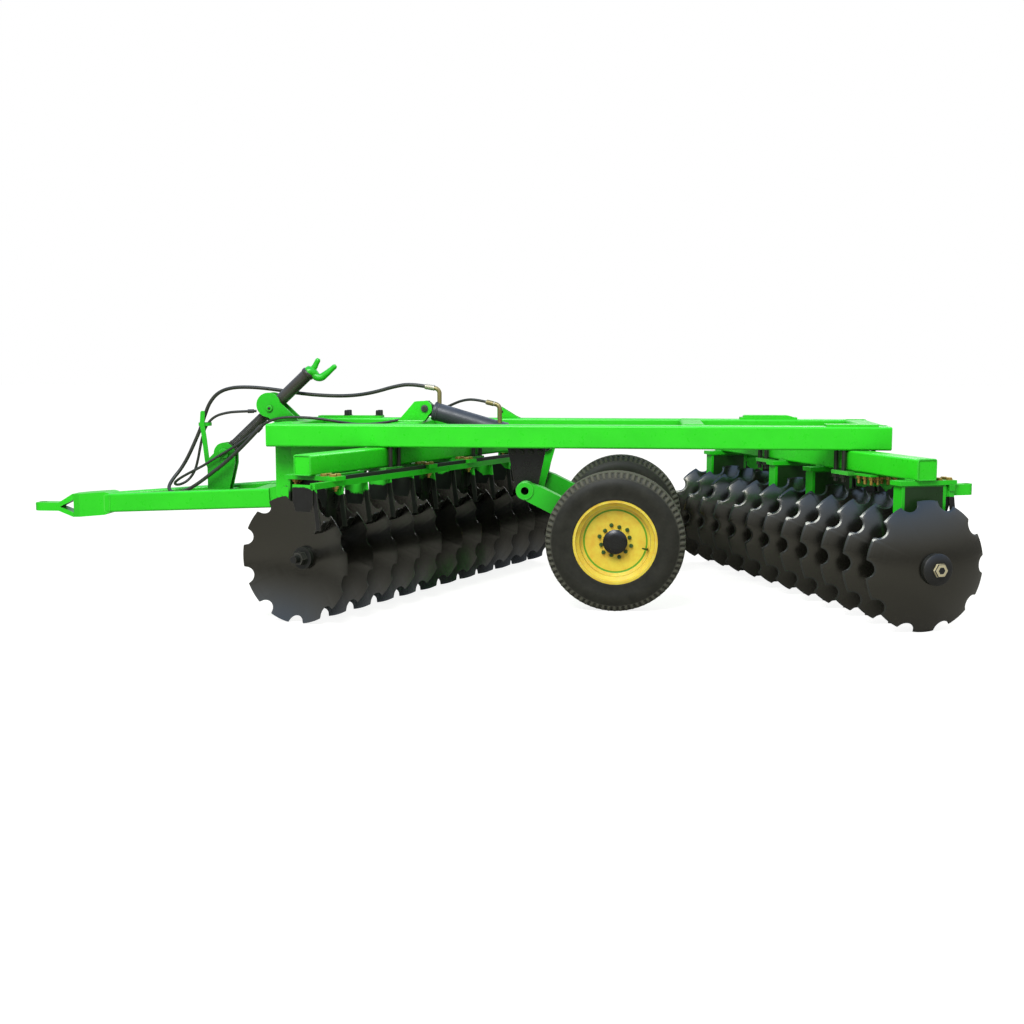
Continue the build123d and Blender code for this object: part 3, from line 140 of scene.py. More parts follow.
# White studio paper: it keeps the shadows, and glows a little for the camera's rays alone.
GLOW = 0.86
paper = bpy.data.materials.new("white_studio_paper")
paper.use_nodes = True
tree = paper.node_tree
tree.nodes.clear()
matt = add_node(tree, "BsdfDiffuse", hex_colour("#a3a3a0"))
rays = add_node(tree, "LightPath").outputs
lift = add_node(tree, "Math", rays["Is Camera Ray"], GLOW, operation="MULTIPLY")
shine = add_node(tree, "Emission", hex_colour("#ffffff"), lift)
add_node(tree, "OutputMaterial", add_node(tree, "AddShader", matt, shine))
floor_mesh.materials.append(paper)

# ---------------------------------------------------------------- box frame
# Four cross beams welded between two side beams, all 127 mm square steel tube with rolled
# corners, their ends closed by welded caps. The whole frame is sprayed in one gloss enamel.


def spot(ahead, left, height):
    """A place in millimetres ahead of the wheel axle, left of the middle and above the ground,
    as metres in the frame of the hitch hole."""
    return np.array([ahead - 3504.0, left, height - 460.0]) / 1000


def mm(ahead, left, height):
    """The same place as spot, left in millimetres."""
    return spot(ahead, left, height) * 1000


def start_material(name, colour, roughness):
    """A material of one Principled shader with a plain colour, its node tree, its shader, and
    the socket of the Object coordinates."""
    made = bpy.data.materials.new(name)
    made.use_nodes = True
    tree = made.node_tree
    tree.nodes.clear()
    shader = add_node(tree, "BsdfPrincipled", hex_colour(colour), 0.0, roughness)
    add_node(tree, "OutputMaterial", shader)
    return made, tree, shader, add_node(tree, "TexCoord").outputs["Object"]


def lay_over(shader, share, colour, under=None):
    """Lays a colour over another or over the shader's own: all of it where the share is 1."""
    base = shader.inputs["Base Color"]
    own = base.links[0].from_socket if base.links else tuple(base.default_value)
    tones = {6: hex_colour(under) if under else own, 7: hex_colour(colour)}
    laid = add_node(shader.id_data, "Mix", share, data_type="RGBA", more=tones)
    give(shader, "Base Color", laid)


# A shadowed green, laid into corners and recesses as painted shade.
CORNER_SHADE = "#0b1a09"


def painted(
    name, colour, shade, worn_and_lit_edge, roughness=0.3, dust="#9fb08c", peel=0.12, corner_shade_share=0.72, cloud=3.1
):
    """A sprayed coat: clouds of two tones at the scale cloud, dust on level tops, edges paler as
    rubbed paint and as a painted highlight, painted shade darkening corners and recesses up to the
    share given for it, a roughness that wanders with specks and orange peel at the strength peel.
    Gives what start_material gives."""
    made, tree, shader, here = start_material(name, colour, roughness)
    normal = add_node(tree, "NewGeometry").outputs["Normal"]
    clouds = add_node(tree, "TexNoise", here, Scale=cloud, Detail=7.0, Roughness=0.62)
    clouded = add_node(tree, "MapRange", clouds, 0.38, 0.72, 0.0, 0.6)
    facing = add_node(tree, "SeparateXYZ", normal)
    level = add_node(tree, "MapRange", facing.outputs["Z"], 0.75, 1.0, 0.0, 0.22)
    specks = add_node(tree, "TexNoise", here, Scale=24.0, Detail=8.0, Roughness=0.7)
    settled = add_node(tree, "Math", level, specks, operation="MULTIPLY")
    # Paler edges: partly rubbed paint, partly a painted highlight where edges catch the light.
    rounded = add_node(tree, "Bevel", samples=4, Radius=0.004)
    turned = add_node(tree, "VectorMath", rounded, normal, operation="DOT_PRODUCT")
    at_edges = add_node(tree, "MapRange", turned, 0.995, 0.9, 0.0, 1.3)
    worn_and_lit_edges = add_node(tree, "Math", at_edges, specks, operation="MULTIPLY", use_clamp=True)
    # Painted shade: ambient occlusion darkens corners, creases and undersides towards a shadowed
    # green.
    openness = add_node(tree, "AmbientOcclusion", samples=4, Distance=0.28).outputs["AO"]
    kept = add_node(tree, "MapRange", openness, 0.22, 0.82, corner_shade_share, 0.0)
    for share, tone in ((clouded, shade), (settled, dust), (worn_and_lit_edges, worn_and_lit_edge), (kept, CORNER_SHADE)):
        lay_over(shader, share, tone)
    gloss = add_node(tree, "MapRange", specks, 0.3, 0.75, roughness - 0.06, roughness + 0.18)
    give(shader, "Roughness", gloss)
    grain = add_node(tree, "TexNoise", here, Scale=210.0, Detail=2.0)
    give(shader, "Normal", add_node(tree, "Bump", Strength=peel, Distance=0.0008, Height=grain))
    return made, tree, shader, here


# Gloss alkyd enamel: a clear leaf green, a little deeper in clouds, and paler at the edges,
# both as rubbed paint and as a painted highlight.
green_enamel, *_ = painted("green_enamel", "#33ea23", "#27d41b", "#66ee58", 0.28)
# A deeper copy of it for the parts that are bolted on later: painted shade, as they stand darker
# than the frame.
shaded_enamel, *_ = painted("shaded_green_enamel", "#27cb1f", "#1cae17", "#5bdc50", 0.3)


def paint(material, *nodes):
    """Gives CAD nodes a material."""
    for node in nodes:
        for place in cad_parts[node].material_slots:
            place.material = material


def surface(grid, uv=None, mark=None):
    """Triangles between the neighbours of a grid of points. Points that coincide become one,
    which closes seams and poles, and the shell is turned outwards by the sign of its volume.
    Gives points, faces, the uv of each face corner and the mark of each point."""
    grid = np.asarray(grid, float)
    rows, columns = grid.shape[:2]
    place = np.arange(rows * columns).reshape(rows, columns)
    a, b, c, d = place[:-1, :-1], place[:-1, 1:], place[1:, 1:], place[1:, :-1]
    corners = np.concatenate([np.stack(t, -1).reshape(-1, 3) for t in ((a, b, c), (a, c, d))])
    flat = grid.reshape(-1, 3)
    rounded = np.round(flat, 6) + 0.0
    _, first, same = np.unique(rounded, axis=0, return_index=True, return_inverse=True)
    faces = same.reshape(-1)[corners]
    kept = (faces != np.roll(faces, 1, axis=1)).all(axis=1)
    faces, corners, points = faces[kept], corners[kept], flat[first]
    a, b, c = (points[faces[:, k]] for k in range(3))
    if (a * np.cross(b, c)).sum() < 0:
        faces, corners = faces[:, ::-1], corners[:, ::-1]
    uv = None if uv is None else np.asarray(uv, float).reshape(-1, 2)[corners]
    mark = None if mark is None else np.asarray(mark, float).reshape(-1)[first]
    return points, faces, uv, mark


def joined(shells):
    """Several shells as one."""
    counts = np.cumsum([0] + [len(shell[0]) for shell in shells])
    faces = np.concatenate([shell[1] + count for shell, count in zip(shells, counts)])
    return np.concatenate([shell[0] for shell in shells]), faces, None, None


def add_piece(
    name, shell, material, body="frame", crease=35, mark_name="mark"
):
    """One mesh piece at the origin, smooth but for edges sharper than crease degrees, on its
    body. A shell's uv becomes a UV map, and its mark a value at each point."""
    points, faces, uv, mark = shell
    mesh = bpy.data.meshes.new(name)
    mesh.from_pydata(points.tolist(), [], faces.tolist())
    mesh.shade_smooth()
    mesh.set_sharp_from_angle(angle=radians(crease))
    if uv is not None:
        layer = mesh.uv_layers.new(name="UVMap")
        layer.data.foreach_set("uv", np.asarray(uv, np.float32).ravel())
    if mark is not None:
        values = mesh.attributes.new(mark_name, "FLOAT", "POINT")
        values.data.foreach_set("value", mark.astype(np.float32))
    mesh.materials.append(material)
    piece = bpy.data.objects.new(name, mesh)
    bpy.context.scene.collection.objects.link(piece)
    if body is not None:
        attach(piece, body)
    return piece


def frames_along(line):
    """Directions along a line and two square to it at each point. The second starts from a
    fixed one and is turned back by the summed twist between neighbours, so that it never spins."""
    step = np.gradient(line, axis=0)
    along = step / np.linalg.norm(step, axis=1, keepdims=True)
    guide = np.eye(3)[np.argmin(np.abs(along).max(axis=0))] + 0.13
    side = np.cross(along, guide)
    side /= np.linalg.norm(side, axis=1, keepdims=True)
    third = np.cross(along, side)
    carried = side[:-1] - along[1:] * (side[:-1] * along[1:]).sum(1, keepdims=True)
    twist = np.arctan2((carried * third[1:]).sum(1), (carried * side[1:]).sum(1))
    turn = np.concatenate([[0], np.cumsum(twist)])[:, None]
    cosine, sine = np.cos(turn), np.sin(turn)
    return along, side * cosine + third * sine, third * cosine - side * sine


def lengths_along(line):
    """The length along a line at each of its points."""
    return np.r_[0, np.cumsum(np.linalg.norm(np.diff(line, axis=0), axis=1))]


def evened(line, count):
    """A line drawn again through a count of points at even lengths, and those lengths."""
    lengths = lengths_along(line)
    stations = np.linspace(0, lengths[-1], count)
    return np.stack([np.interp(stations, lengths, line[:, k]) for k in range(3)], -1), stations


def tube(line, radius, sides=12):
    """A round tube closed at its ends: each ring is a point of the line plus its radius times the
    cosine and sine of the angle along the two square directions. Its uv is turns and metres."""
    line = np.asarray(line, float)
    radius = np.broadcast_to(radius, len(line)).astype(float)
    _, side, third = frames_along(line)
    turns = np.linspace(0, 1, sides + 1)
    angle = 2 * np.pi * turns[None, :, None]
    rings = side[:, None] * np.cos(angle) + third[:, None] * np.sin(angle)
    grid = line[:, None] + radius[:, None, None] * rings
    poles = np.broadcast_to(line[:, None], grid.shape)
    grid = np.concatenate([poles[:1], grid, poles[-1:]])
    lengths = lengths_along(line)
    lengths = np.r_[0, lengths, lengths[-1]]
    uv = np.stack(np.meshgrid(turns, lengths), axis=-1)
    return surface(grid, uv)


def bead(corners, width=8.0):
    """A weld run along a line of corners in millimetres: a tube whose radius swells and shrinks
    by an eighth as the cosine of the length, once every 7 mm, like the ripples of a weld pool."""
    corners = np.asarray(corners, float)
    line, stations = evened(corners, max(int(lengths_along(corners)[-1] / 3.5), 4))
    ripple = 1 + 0.12 * np.cos(2 * np.pi * stations / 7)
    shell = tube(line / 1000, width / 2000 * ripple, sides=7)
    return shell[0], shell[1], None, None


def welds(seams, width=8.0):
    """Weld runs along several lines as one shell."""
    return joined([bead(seam, width) for seam in seams])


def run(start, end, left, height):
    """A straight run along the harrow, for a weld."""
    return [mm(start, left, height), mm(end, left, height)]


def outline(centre, half_u, half_v, corner, u=(1, 0, 0), v=(0, 0, 1)):
    """A closed rounded rectangle in the plane of u and v: a quarter circle round each corner."""
    angle = np.linspace(0, np.pi / 2, 5)
    turned = np.concatenate([angle + quarter * np.pi / 2 for quarter in range(4)])
    sign_u = np.repeat([1, -1, -1, 1], 5) * (half_u - corner)
    sign_v = np.repeat([1, 1, -1, -1], 5) * (half_v - corner)
    path_u = sign_u + corner * np.cos(turned)
    path_v = sign_v + corner * np.sin(turned)
    path = np.asarray(centre, float) + np.outer(path_u, u) + np.outer(path_v, v)
    return np.concatenate([path, path[:1]])


# Millimetres: the cross beams' middles, all beams' middle height, and the side beams' inner
# faces and middles.
CROSS_BEAMS, BEAM_MIDDLE = (1896.5, 1204.0, -420.0, -1401.5), 926.5
SIDE_INNER, SIDE_MIDDLE = 376, 436.5
seams = [
    outline(mm(ahead, side * SIDE_INNER, BEAM_MIDDLE), 64, 64, 13)
    for ahead in CROSS_BEAMS
    for side in (1, -1)
]
seams += [
    outline(mm(ahead, side * SIDE_MIDDLE, BEAM_MIDDLE), 58, 58, 10, u=(0, 1, 0))
    for ahead in (1960, -1465)
    for side in (1, -1)
]
add_piece("frame_welds", welds(seams), green_enamel)
paint(
    green_enamel, "side_beam_left", "side_beam_right", "front_cross_beam", "middle_cross_beam",
    "inner_rear_cross_beam", "rear_cross_beam", "beam_top_plates", "transport_lock_bracket")


def lathe(profile, sides=48):
    """A profile of radii and heights in millimetres turned round the z axis."""
    radii, heights = np.asarray(profile, float).T[:, :, None] / 1000
    angle = np.linspace(0, 2 * np.pi, sides + 1)
    heights = np.broadcast_to(heights, (len(heights), sides + 1))
    return surface(np.stack([radii * np.cos(angle), radii * np.sin(angle), heights], axis=-1))


def copies(shell, places, axes):
    """Copies of a shell, each with its z along an axis at its place."""
    places = np.atleast_2d(np.asarray(places, float))
    up = np.broadcast_to(np.asarray(axes, float), places.shape)
    up = up / np.linalg.norm(up, axis=1, keepdims=True)
    guide = np.where(np.abs(up[:, 2:]) > 0.9, [[1.0, 0, 0]], [[0, 0, 1.0]])
    side = np.cross(guide, up)
    side /= np.linalg.norm(side, axis=1, keepdims=True)
    third = np.cross(up, side)
    x, y, z = shell[0].T[:, None, :, None]
    made = places[:, None] + x * side[:, None] + y * third[:, None] + z * up[:, None]
    faces = shell[1][None] + (np.arange(len(places)) * len(shell[0]))[:, None, None]
    return made.reshape(-1, 3), faces.reshape(-1, 3), None, None


def nut(width, height, stud=0.0):
    """A hexagon nut or bolt head on a washer, with a chamfered top and maybe a stud."""
    corner = width / 3**0.5
    body = lathe(
        [(0, 0), (corner, 0), (corner, height * 0.82), (corner * 0.84, height), (0, height)], 6)
    rim = width * 0.68
    washer = lathe([(0, -1), (rim, -1), (rim, 2.8), (0, 2.8)], 14)
    shells = [body, washer]
    if stud:
        bolt, top = width * 0.32, height + stud
        shells.append(lathe([(0, 0), (bolt, 0), (bolt, top - 2), (bolt * 0.8, top), (0, top)], 10))
    return joined(shells)


# Phosphated bolt steel: near black with a brown cast, matt, slightly pitted.
black_bolts, *_ = painted(
    "phosphated_steel", "#201f1b", "#141311", "#5a574c", 0.45, "#4d4a40", 0.3)
plate_bolts = [
    spot(ahead, inset - SIDE_MIDDLE, 1002) for ahead in (1700, 1502) for inset in (30, -30)]
add_piece("top_plate_bolts", copies(nut(31, 34), plate_bolts, (0, 0, 1)), black_bolts)


def slab(corners, thick):
    """A flat plate: an outline in x and y, closed at both faces, thick along z."""
    ring = np.array([*corners, corners[0]], float)
    middle = np.broadcast_to(ring[:-1].mean(axis=0), ring.shape)
    flat = np.stack([middle, ring, ring, middle])
    levels = np.broadcast_to(np.array([0, 0, thick, thick])[:, None, None], (4, len(ring), 1))
    return surface(np.concatenate([flat, levels], axis=-1) / 1000)


# A doubler plate lies on the far side beam's rear end, and a gusset hangs under each side beam
# behind the drawbar's hinge.
gusset = slab([(0, 0), (-410, 0), (-410, -30), (0, -64)], 8)
gusset_places = [spot(1850, side * 372 + 4, 863) for side in (1, -1)]
add_piece("hinge_gussets", copies(gusset, gusset_places, (0, -1, 0)), green_enamel, crease=30)
doubler = slab([(-150, 0), (150, 0), (150, 7), (142, 13), (-112, 13), (-150, 3)], 96)
doubler_place = spot(-890, 48 - SIDE_MIDDLE, 1001)
add_piece("top_plate_doubler", copies(doubler, doubler_place, (0, -1, 0)), green_enamel, crease=30)
add_piece(
    "lock_pin",
    tube([spot(732, -478, 1032), spot(732, -400, 1032), spot(728, -394, 1030)], 0.007, 12),
    black_bolts, "frame")

# ---------------------------------------------------------------- disc gangs
# Twelve dished, notched discs of heat-treated boron steel ride on each gang's bolt, with cast
# spools between them. They leave the works in black lacquer with their cutting edges ground.

# Each gang's middle ahead and left, its sweep in degrees, the side of it that trails, and how
# far its discs are turned at rest.
GANGS = {"front": (1149, 13, 22.0, -1, 18.0), "rear": (-1084, -73, 158.7, 1, 0.0)}
DISC_RADIUS, SPHERE, THICKNESS, PITCH, DISCS = 330.0, 660.0, 6.0, 230.0, 12
HUB_RADIUS, DISH = 66, 85.1


def gang_directions(gang):
    """Along a gang's axle towards the discs' bulging sides, and level across it."""
    sweep = radians(GANGS[gang][2])
    along = np.array([-np.sin(sweep), -np.cos(sweep), 0])
    return along, np.array([np.cos(sweep), -np.sin(sweep), 0])


def gang_spot(gang, along, across, height):
    """A place in millimetres along and across a gang and above the ground, as metres."""
    ahead, left, *_ = GANGS[gang]
    down, side = gang_directions(gang)
    return spot(ahead, left, height) + (down * along + side * across) / 1000


def disc_along(number):
    """Where a disc's rim lies along its gang."""
    return (number - 5.5) * PITCH


def notched(depth, angle):
    """The outline drawn in by a depth: the lesser of the rim's radius and, near a notch, the far
    side of the notch's circle grown by the depth, by the law of cosines."""
    centre, notch = 340.0, 48.0 + depth
    off = (angle + np.pi / 10) % (np.pi / 5) - np.pi / 10
    under = notch**2 - (centre * np.sin(off)) ** 2
    far = centre * np.cos(off) - np.sqrt(np.maximum(under, 0))
    return np.where(under > 0, np.minimum(DISC_RADIUS - depth, far), DISC_RADIUS - depth)


def dished_disc():
    """A dished disc about z: both faces are spheres, 6 mm apart, on rows from the hub out to the
    notched outline and back. The outer face is ground down to 2 mm over the last 8 mm."""
    mouth = radians(8.035)
    tooth = np.concatenate(
        [np.linspace(-mouth, mouth, 12), np.linspace(mouth, np.pi / 5 - mouth, 12)[1:-1]])
    angle = np.concatenate(
        [tooth + turn * np.pi / 5 for turn in range(10)] + [tooth[:1] + 2 * np.pi])
    depths = np.array([0, 3.0, 5.5, 7.5, 9.0])
    edge = np.stack([notched(depth, angle) for depth in depths])
    shares = np.linspace(0, 1, 7)[:, None]
    web = HUB_RADIUS + shares * (edge[-1] - HUB_RADIUS)
    flat = np.full((1, len(angle)), 24.0)
    radii = np.concatenate([flat, web, edge[-2::-1]])
    ground = np.concatenate(
        [np.zeros((8, len(angle))), np.repeat([[0.15], [1], [1], [1]], len(angle), axis=1)])
    thick = np.concatenate([np.full(8, THICKNESS), [5.7, 4.9, 3.6, 2.0]])[:, None]
    rim = np.sqrt(SPHERE**2 - DISC_RADIUS**2)
    dish = np.sqrt((SPHERE - THICKNESS) ** 2 - np.maximum(radii, HUB_RADIUS) ** 2) - rim
    heights = np.concatenate([dish + thick, dish[::-1], dish[:1] + thick[:1]])
    radii = np.concatenate([radii, radii[::-1], radii[:1]])
    ground = np.concatenate([ground, 0 * ground, 0 * ground[:1]])
    angle = np.broadcast_to(angle, radii.shape)
    grid = np.stack([radii * np.cos(angle), radii * np.sin(angle), heights], axis=-1) / 1000
    return surface(grid, np.stack([angle / 2 / np.pi, radii / 1000], axis=-1), ground)


def placed(shell, origin, across, along):
    """A shell moved so that its x lies across and its z along."""
    points, faces, uv, mark = shell
    third = np.cross(along, across)
    made = origin + points[:, :1] * across + points[:, 1:2] * third + points[:, 2:] * along
    return made, faces, uv, mark


# Black disc lacquer over rolled boron steel, with a blue-grey sheen, scuffed in rings by soil,
# and a bare ground bevel that carries the grinder's marks.
disc_lacquer, tree, shader, here = start_material("black_disc_lacquer", "#23231f", 0.34)
give(shader, "IOR", 1.75)
give(shader, "Specular IOR Level", 0.62)
give(shader, "Specular Tint", hex_colour("#f7f2e2"))
turns = add_node(tree, "UVMap", uv_map="UVMap")
ring_map = add_node(tree, "Mapping", turns, Scale=(4.0, 90.0, 1.0))
rings = add_node(tree, "TexNoise", ring_map, Scale=1.0, Detail=5.0, Roughness=0.6)
clouds = add_node(tree, "TexNoise", here, Scale=6.0, Detail=6.0)
lay_over(shader, clouds, "#161611", "#070705")
edge = add_node(tree, "Attribute", attribute_name="ground").outputs["Fac"]
bared = add_node(tree, "MapRange", edge, 0.35, 0.65)
lay_over(shader, bared, "#343837")
give(shader, "Metallic", add_node(tree, "Math", bared, 0.5, operation="MULTIPLY"))
give(shader, "Roughness", add_node(tree, "MapRange", rings, 0.3, 0.7, 0.19, 0.27))
give(shader, "Normal", add_node(tree, "Bump", Strength=0.05, Distance=0.0005, Height=rings))

DISC = dished_disc()
for gang, (*_, turned) in GANGS.items():
    down, side = gang_directions(gang)
    up = np.cross(down, side)
    across = side * np.cos(radians(turned)) + up * np.sin(radians(turned))
    hubs = [gang_spot(gang, disc_along(k), 0, DISC_RADIUS) for k in range(DISCS)]
    shells = [placed(DISC, hub, across, down) for hub in hubs]
    points, faces, _, _ = joined(shells)
    uv, ground = (np.concatenate([shell[part] for shell in shells]) for part in (2, 3))
    discs = add_piece(
        f"{gang}_notched_discs", (points, faces, uv, ground), disc_lacquer, f"{gang}_gang",
        30, "ground")
    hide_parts(f"{gang}_discs")

# Spools, washers and bearing housings are grey iron castings in thin black paint, with the
# pebbled skin of the sand mould.
cast_iron, tree, shader, here = painted(
    "black_cast_iron", "#1d1d1a", "#121210", "#4a483f", 0.42, "#4a473c", 0.2)
pebbles = add_node(tree, "TexVoronoi", here, Scale=260.0)
give(shader, "Normal", add_node(tree, "Bump", Strength=0.35, Distance=0.0009, Height=pebbles))
paint(cast_iron, "front_gang_axle", "rear_gang_axle", "front_gang_bearings", "rear_gang_bearings")

# The gang bolt's nuts are plain machined steel under a yellow-white wax, gone brown in the thread.
waxed_steel, *_ = painted(
    "waxed_machined_steel", "#cfc7a2", "#a8976a", "#f0ead0", 0.36, "#b0a37c", 0.1)
# The washer under it at the bulging end is a cast cone, with the axle's black paint.
cone_profile = [
    (79.5, 1), (79.5, 4), (74, 9), (50, 16.5), (44, 17.5), (34, 17.5), (34, 1), (79.5, 1)]
cone = lathe(cone_profile, 60)
big_nut = lathe([(0, 0), (36.8, 0), (36.8, 29), (32.5, 36.5), (19, 36.8), (18, 30), (0, 30)], 6)
# Forged steel left oiled: dark grey, brighter at its edges as rubbed wear and as a painted
# highlight.
dark_steel, *_ = painted(
    "oiled_forged_steel", "#3c3c38", "#26251f", "#8d8c82", 0.3, "#4f4d42", 0.15)
WASHER = 22
for gang, (*_, trail, _) in GANGS.items():
    down, _ = gang_directions(gang)
    near = disc_along(0) + DISH - THICKNESS - WASHER
    far = disc_along(DISCS - 1) + DISH + WASHER
    # Near and far go by the harrow's left side, so they change over on the rear gang.
    for end, (along, axis) in zip(("near", "far"), [(near, -down), (far, down)][::-trail]):
        steel = waxed_steel if (gang, end) == ("rear", "near") else dark_steel
        shell = copies(big_nut, gang_spot(gang, along, 0, DISC_RADIUS), axis)
        add_piece(f"{gang}_{end}_nut", shell, steel, f"{gang}_gang", 30)
    add_piece(
        f"{gang}_cone_washer", copies(cone, gang_spot(gang, far, 0, DISC_RADIUS), down), cast_iron,
        f"{gang}_gang", 40)

# ---------------------------------------------------------------- gang beams and hangers
# Each gang hangs from a 110 mm square tube on four fabricated arches that straddle a bearing.
# Arch, flanges and top plate are welded steel plate in the frame's enamel, bolted to the beam.

HANGER_ALONG = [disc_along(gap) + 117 for gap in (0, 4, 6, 10)]
# The heights between which the painted shade on the arches fades in, and its colour.
ARCH_SHADE = {"front": (0.285, 0.265, "#12180e"), "rear": (0.0, -0.02, "#1b3a16")}


def ragged_line(tree, here, scale, detail, swing, start, end):
    """A share from 0 to 1 between two heights, which noise moves by up to a swing."""
    height = add_node(tree, "SeparateXYZ", here).outputs["Z"]
    ragged = add_node(tree, "TexNoise", here, Scale=scale, Detail=detail)
    line = add_node(tree, "Math", ragged, swing, height, operation="MULTIPLY_ADD")
    return add_node(tree, "MapRange", line, start, end)


for gang, (*_, trail, _) in GANGS.items():
    down, side = gang_directions(gang)
    paint(green_enamel, f"{gang}_gang_beam")
    paint(shaded_enamel, f"{gang}_scraper_bar")
    # The arches' webs and, in front, all that hangs low get painted shade with a ragged edge.
    arch_coat, tree, shader, here = painted(
        f"{gang}_arch_enamel", "#2ad821", "#1fbb19", "#5bdc50", 0.3)
    crossing = add_node(tree, "VectorMath", here, tuple(side), operation="DOT_PRODUCT")
    middle = float(gang_spot(gang, 0, 0, 0) @ side)
    between = add_node(tree, "Math", crossing, middle, 0.107, operation="COMPARE")
    height = add_node(tree, "SeparateXYZ", here).outputs["Z"]
    below = add_node(tree, "MapRange", height, 0.270, 0.262)
    web_shade = add_node(tree, "Math", between, below, operation="MULTIPLY")
    start, end, shade_tone = ARCH_SHADE[gang]
    low_shade = ragged_line(tree, here, 7.0, 6.0, 0.10, start, end)
    lay_over(shader, add_node(tree, "Math", web_shade, low_shade, operation="MAXIMUM"), shade_tone)
    paint(arch_coat, f"{gang}_gang_hangers")

    def place(along, across, height):
        return gang_spot(gang, along, across, height) * 1000

    seams = [
        outline(place(end, 0, 808), 50, 50, 9, u=side)
        for end in (HANGER_ALONG[0] - 42, HANGER_ALONG[-1] + 98)
    ]
    for start in HANGER_ALONG:
        seams.append([place(start + 62, edge, 729) for edge in (-110, 110)])
        for edge in (1, -1):
            seams.append([place(start + 62, edge * 109, height) for height in (275, 729)])
            seams.append([place(start + along, edge * 109, 729) for along in (2, 62)])
            seams.append([place(start + along, edge * 55, 755) for along in (-5, 83)])
    add_piece(f"{gang}_hanger_welds", welds(seams, 9), arch_coat)
    # A dark flat bar stands on the scraper bar's rear edge: painted shade that fills the gap
    # there.
    flat = slab([(7, 0), (7, 20.5), (-7, 20.5), (-7, 0)], HANGER_ALONG[-1] + 40 - HANGER_ALONG[0])
    shade_bar_place = gang_spot(gang, HANGER_ALONG[0], trail * 150, 730.5)
    add_piece(
        f"{gang}_scraper_shade_bar", copies(flat, shade_bar_place, down), black_bolts, "frame",
        30)

    heads, ends, golds, crowns = [], [], [], []
    for start in HANGER_ALONG:
        for edge in (1, -1):
            for rise in (26, -26):
                heads.append(gang_spot(gang, start + 64, edge * 92, DISC_RADIUS + rise))
                ends.append(gang_spot(gang, start + 90, edge * 92, DISC_RADIUS + rise))
            for inset in (16, 46):
                golds.append(gang_spot(gang, start + inset, edge * 86, 731))
        golds.append(gang_spot(gang, start + 34, trail * 150, 701))
        for inset, reach in ((14, 92), (14, 150), (58, 92), (58, 150)):
            crowns.append(gang_spot(gang, start + inset, trail * reach, 753))
    bolts = joined([copies(nut(24, 13), heads, -down), copies(nut(24, 15, 8), ends, down)])
    add_piece(f"{gang}_bearing_bolts", bolts, black_bolts, "frame")
    if gang == "front":
        # Yellow-passivated zinc: brassy gold clouded with brown, softly bright.
        gold_zinc, _, shader, _ = painted(
            "yellow_passivated_zinc", "#c9a445", "#b98a3e", "#ead58f", 0.32, "#9c8a58", 0.08)
        give(shader, "Metallic", 0.6)
    clips = joined(
        [copies(nut(30, 15, 12), golds, (0, 0, -1)), copies(nut(30, 13), crowns, (0, 0, 1))])
    add_piece(f"{gang}_hanger_nuts", clips, gold_zinc, "frame")

# A clip plate under each gang beam, between its two outer hangers, holds the scrapers' springs
# with long yellow-zinc bolts.
for gang, (*_, trail, _) in GANGS.items():
    down, side = gang_directions(gang)
    middle, half = (HANGER_ALONG[-1] - 370, 85) if gang == "rear" else (HANGER_ALONG[0] + 245, 150)
    rounded = outline((0, 0, 0), half, 90, 8, u=down, v=side)[:, None] / 1000
    shares = np.array([0, 1, 1, 0])[None, :, None]
    levels = np.array([0, 0, -0.010, -0.010])[None, :, None] * np.array([0, 0, 1.0])
    plate = surface(gang_spot(gang, middle, 0, 752.5) + rounded * shares + levels)
    add_piece(f"{gang}_clip_plate", plate, shaded_enamel, crease=30)
    tips = [
        gang_spot(gang, middle + a, b, 742.5) for a in (-62, 0, 62) for b in (-68, -30, 30, 68)]
    add_piece(
        f"{gang}_clip_bolts", copies(nut(26, 18, 26), tips, (0, 0, -1)), gold_zinc, "frame")

# Scraper stems and blades are spring steel: dipped green with their bar at the top, and dark,
# soil-polished steel below.
scraper_steel, tree, shader, here = painted(
    "soil_polished_steel", "#1b1b18", "#111110", "#57554b", 0.38, "#46443a", 0.2)
lay_over(shader, ragged_line(tree, here, 5.0, 5.0, 0.22, 0.318, 0.324), "#35d22d")
paint(scraper_steel, "front_scrapers", "rear_scrapers")
# Behind the bar a flat spring leaf, cut in at its foot, stands beside each disc.
for gang, (*_, trail, _) in GANGS.items():
    down, _ = gang_directions(gang)
    leaf = slab([(62, 72), (-62, 72), (-62, -20), (-46, -66), (46, -66), (62, -20)], 4)
    places = [gang_spot(gang, disc_along(k) - 46, trail * 88, 650) for k in range(DISCS)]
    add_piece(
        f"{gang}_scraper_leaves", copies(leaf, places, down), scraper_steel, "frame",
        30)
paint(green_enamel, "tow_eye_arm")

# ---------------------------------------------------------------- gang clamps
# Each gang beam is held under the side beams by long bolts through a plate below it: the plates
# are in enamel, and the bolts and nuts are black.
clamp_coat, tree, shader, here = painted(
    "clamp_plate_and_bolts", "#49d640", "#3fb539", "#8af083", 0.32)
PLATE_HEIGHT, HALF_PLATE = 0.283, 0.0105
height = add_node(tree, "SeparateXYZ", here).outputs["Z"]
on_plate = add_node(tree, "Math", height, PLATE_HEIGHT, HALF_PLATE, operation="COMPARE")
shown = shader.inputs["Base Color"].links[0].from_socket
tones = {6: hex_colour("#2a2a24"), 7: shown}
give(shader, "Base Color", add_node(tree, "Mix", on_plate, data_type="RGBA", more=tones))
paint(clamp_coat, "gang_clamps")

# ---------------------------------------------------------------- wheels
# Two ribbed implement tyres on pressed and welded rims, each held to a hub by twelve nuts. The
# rims are yellow enamel with a thin green line, the hubs' caps black.
BLOCKS = 72


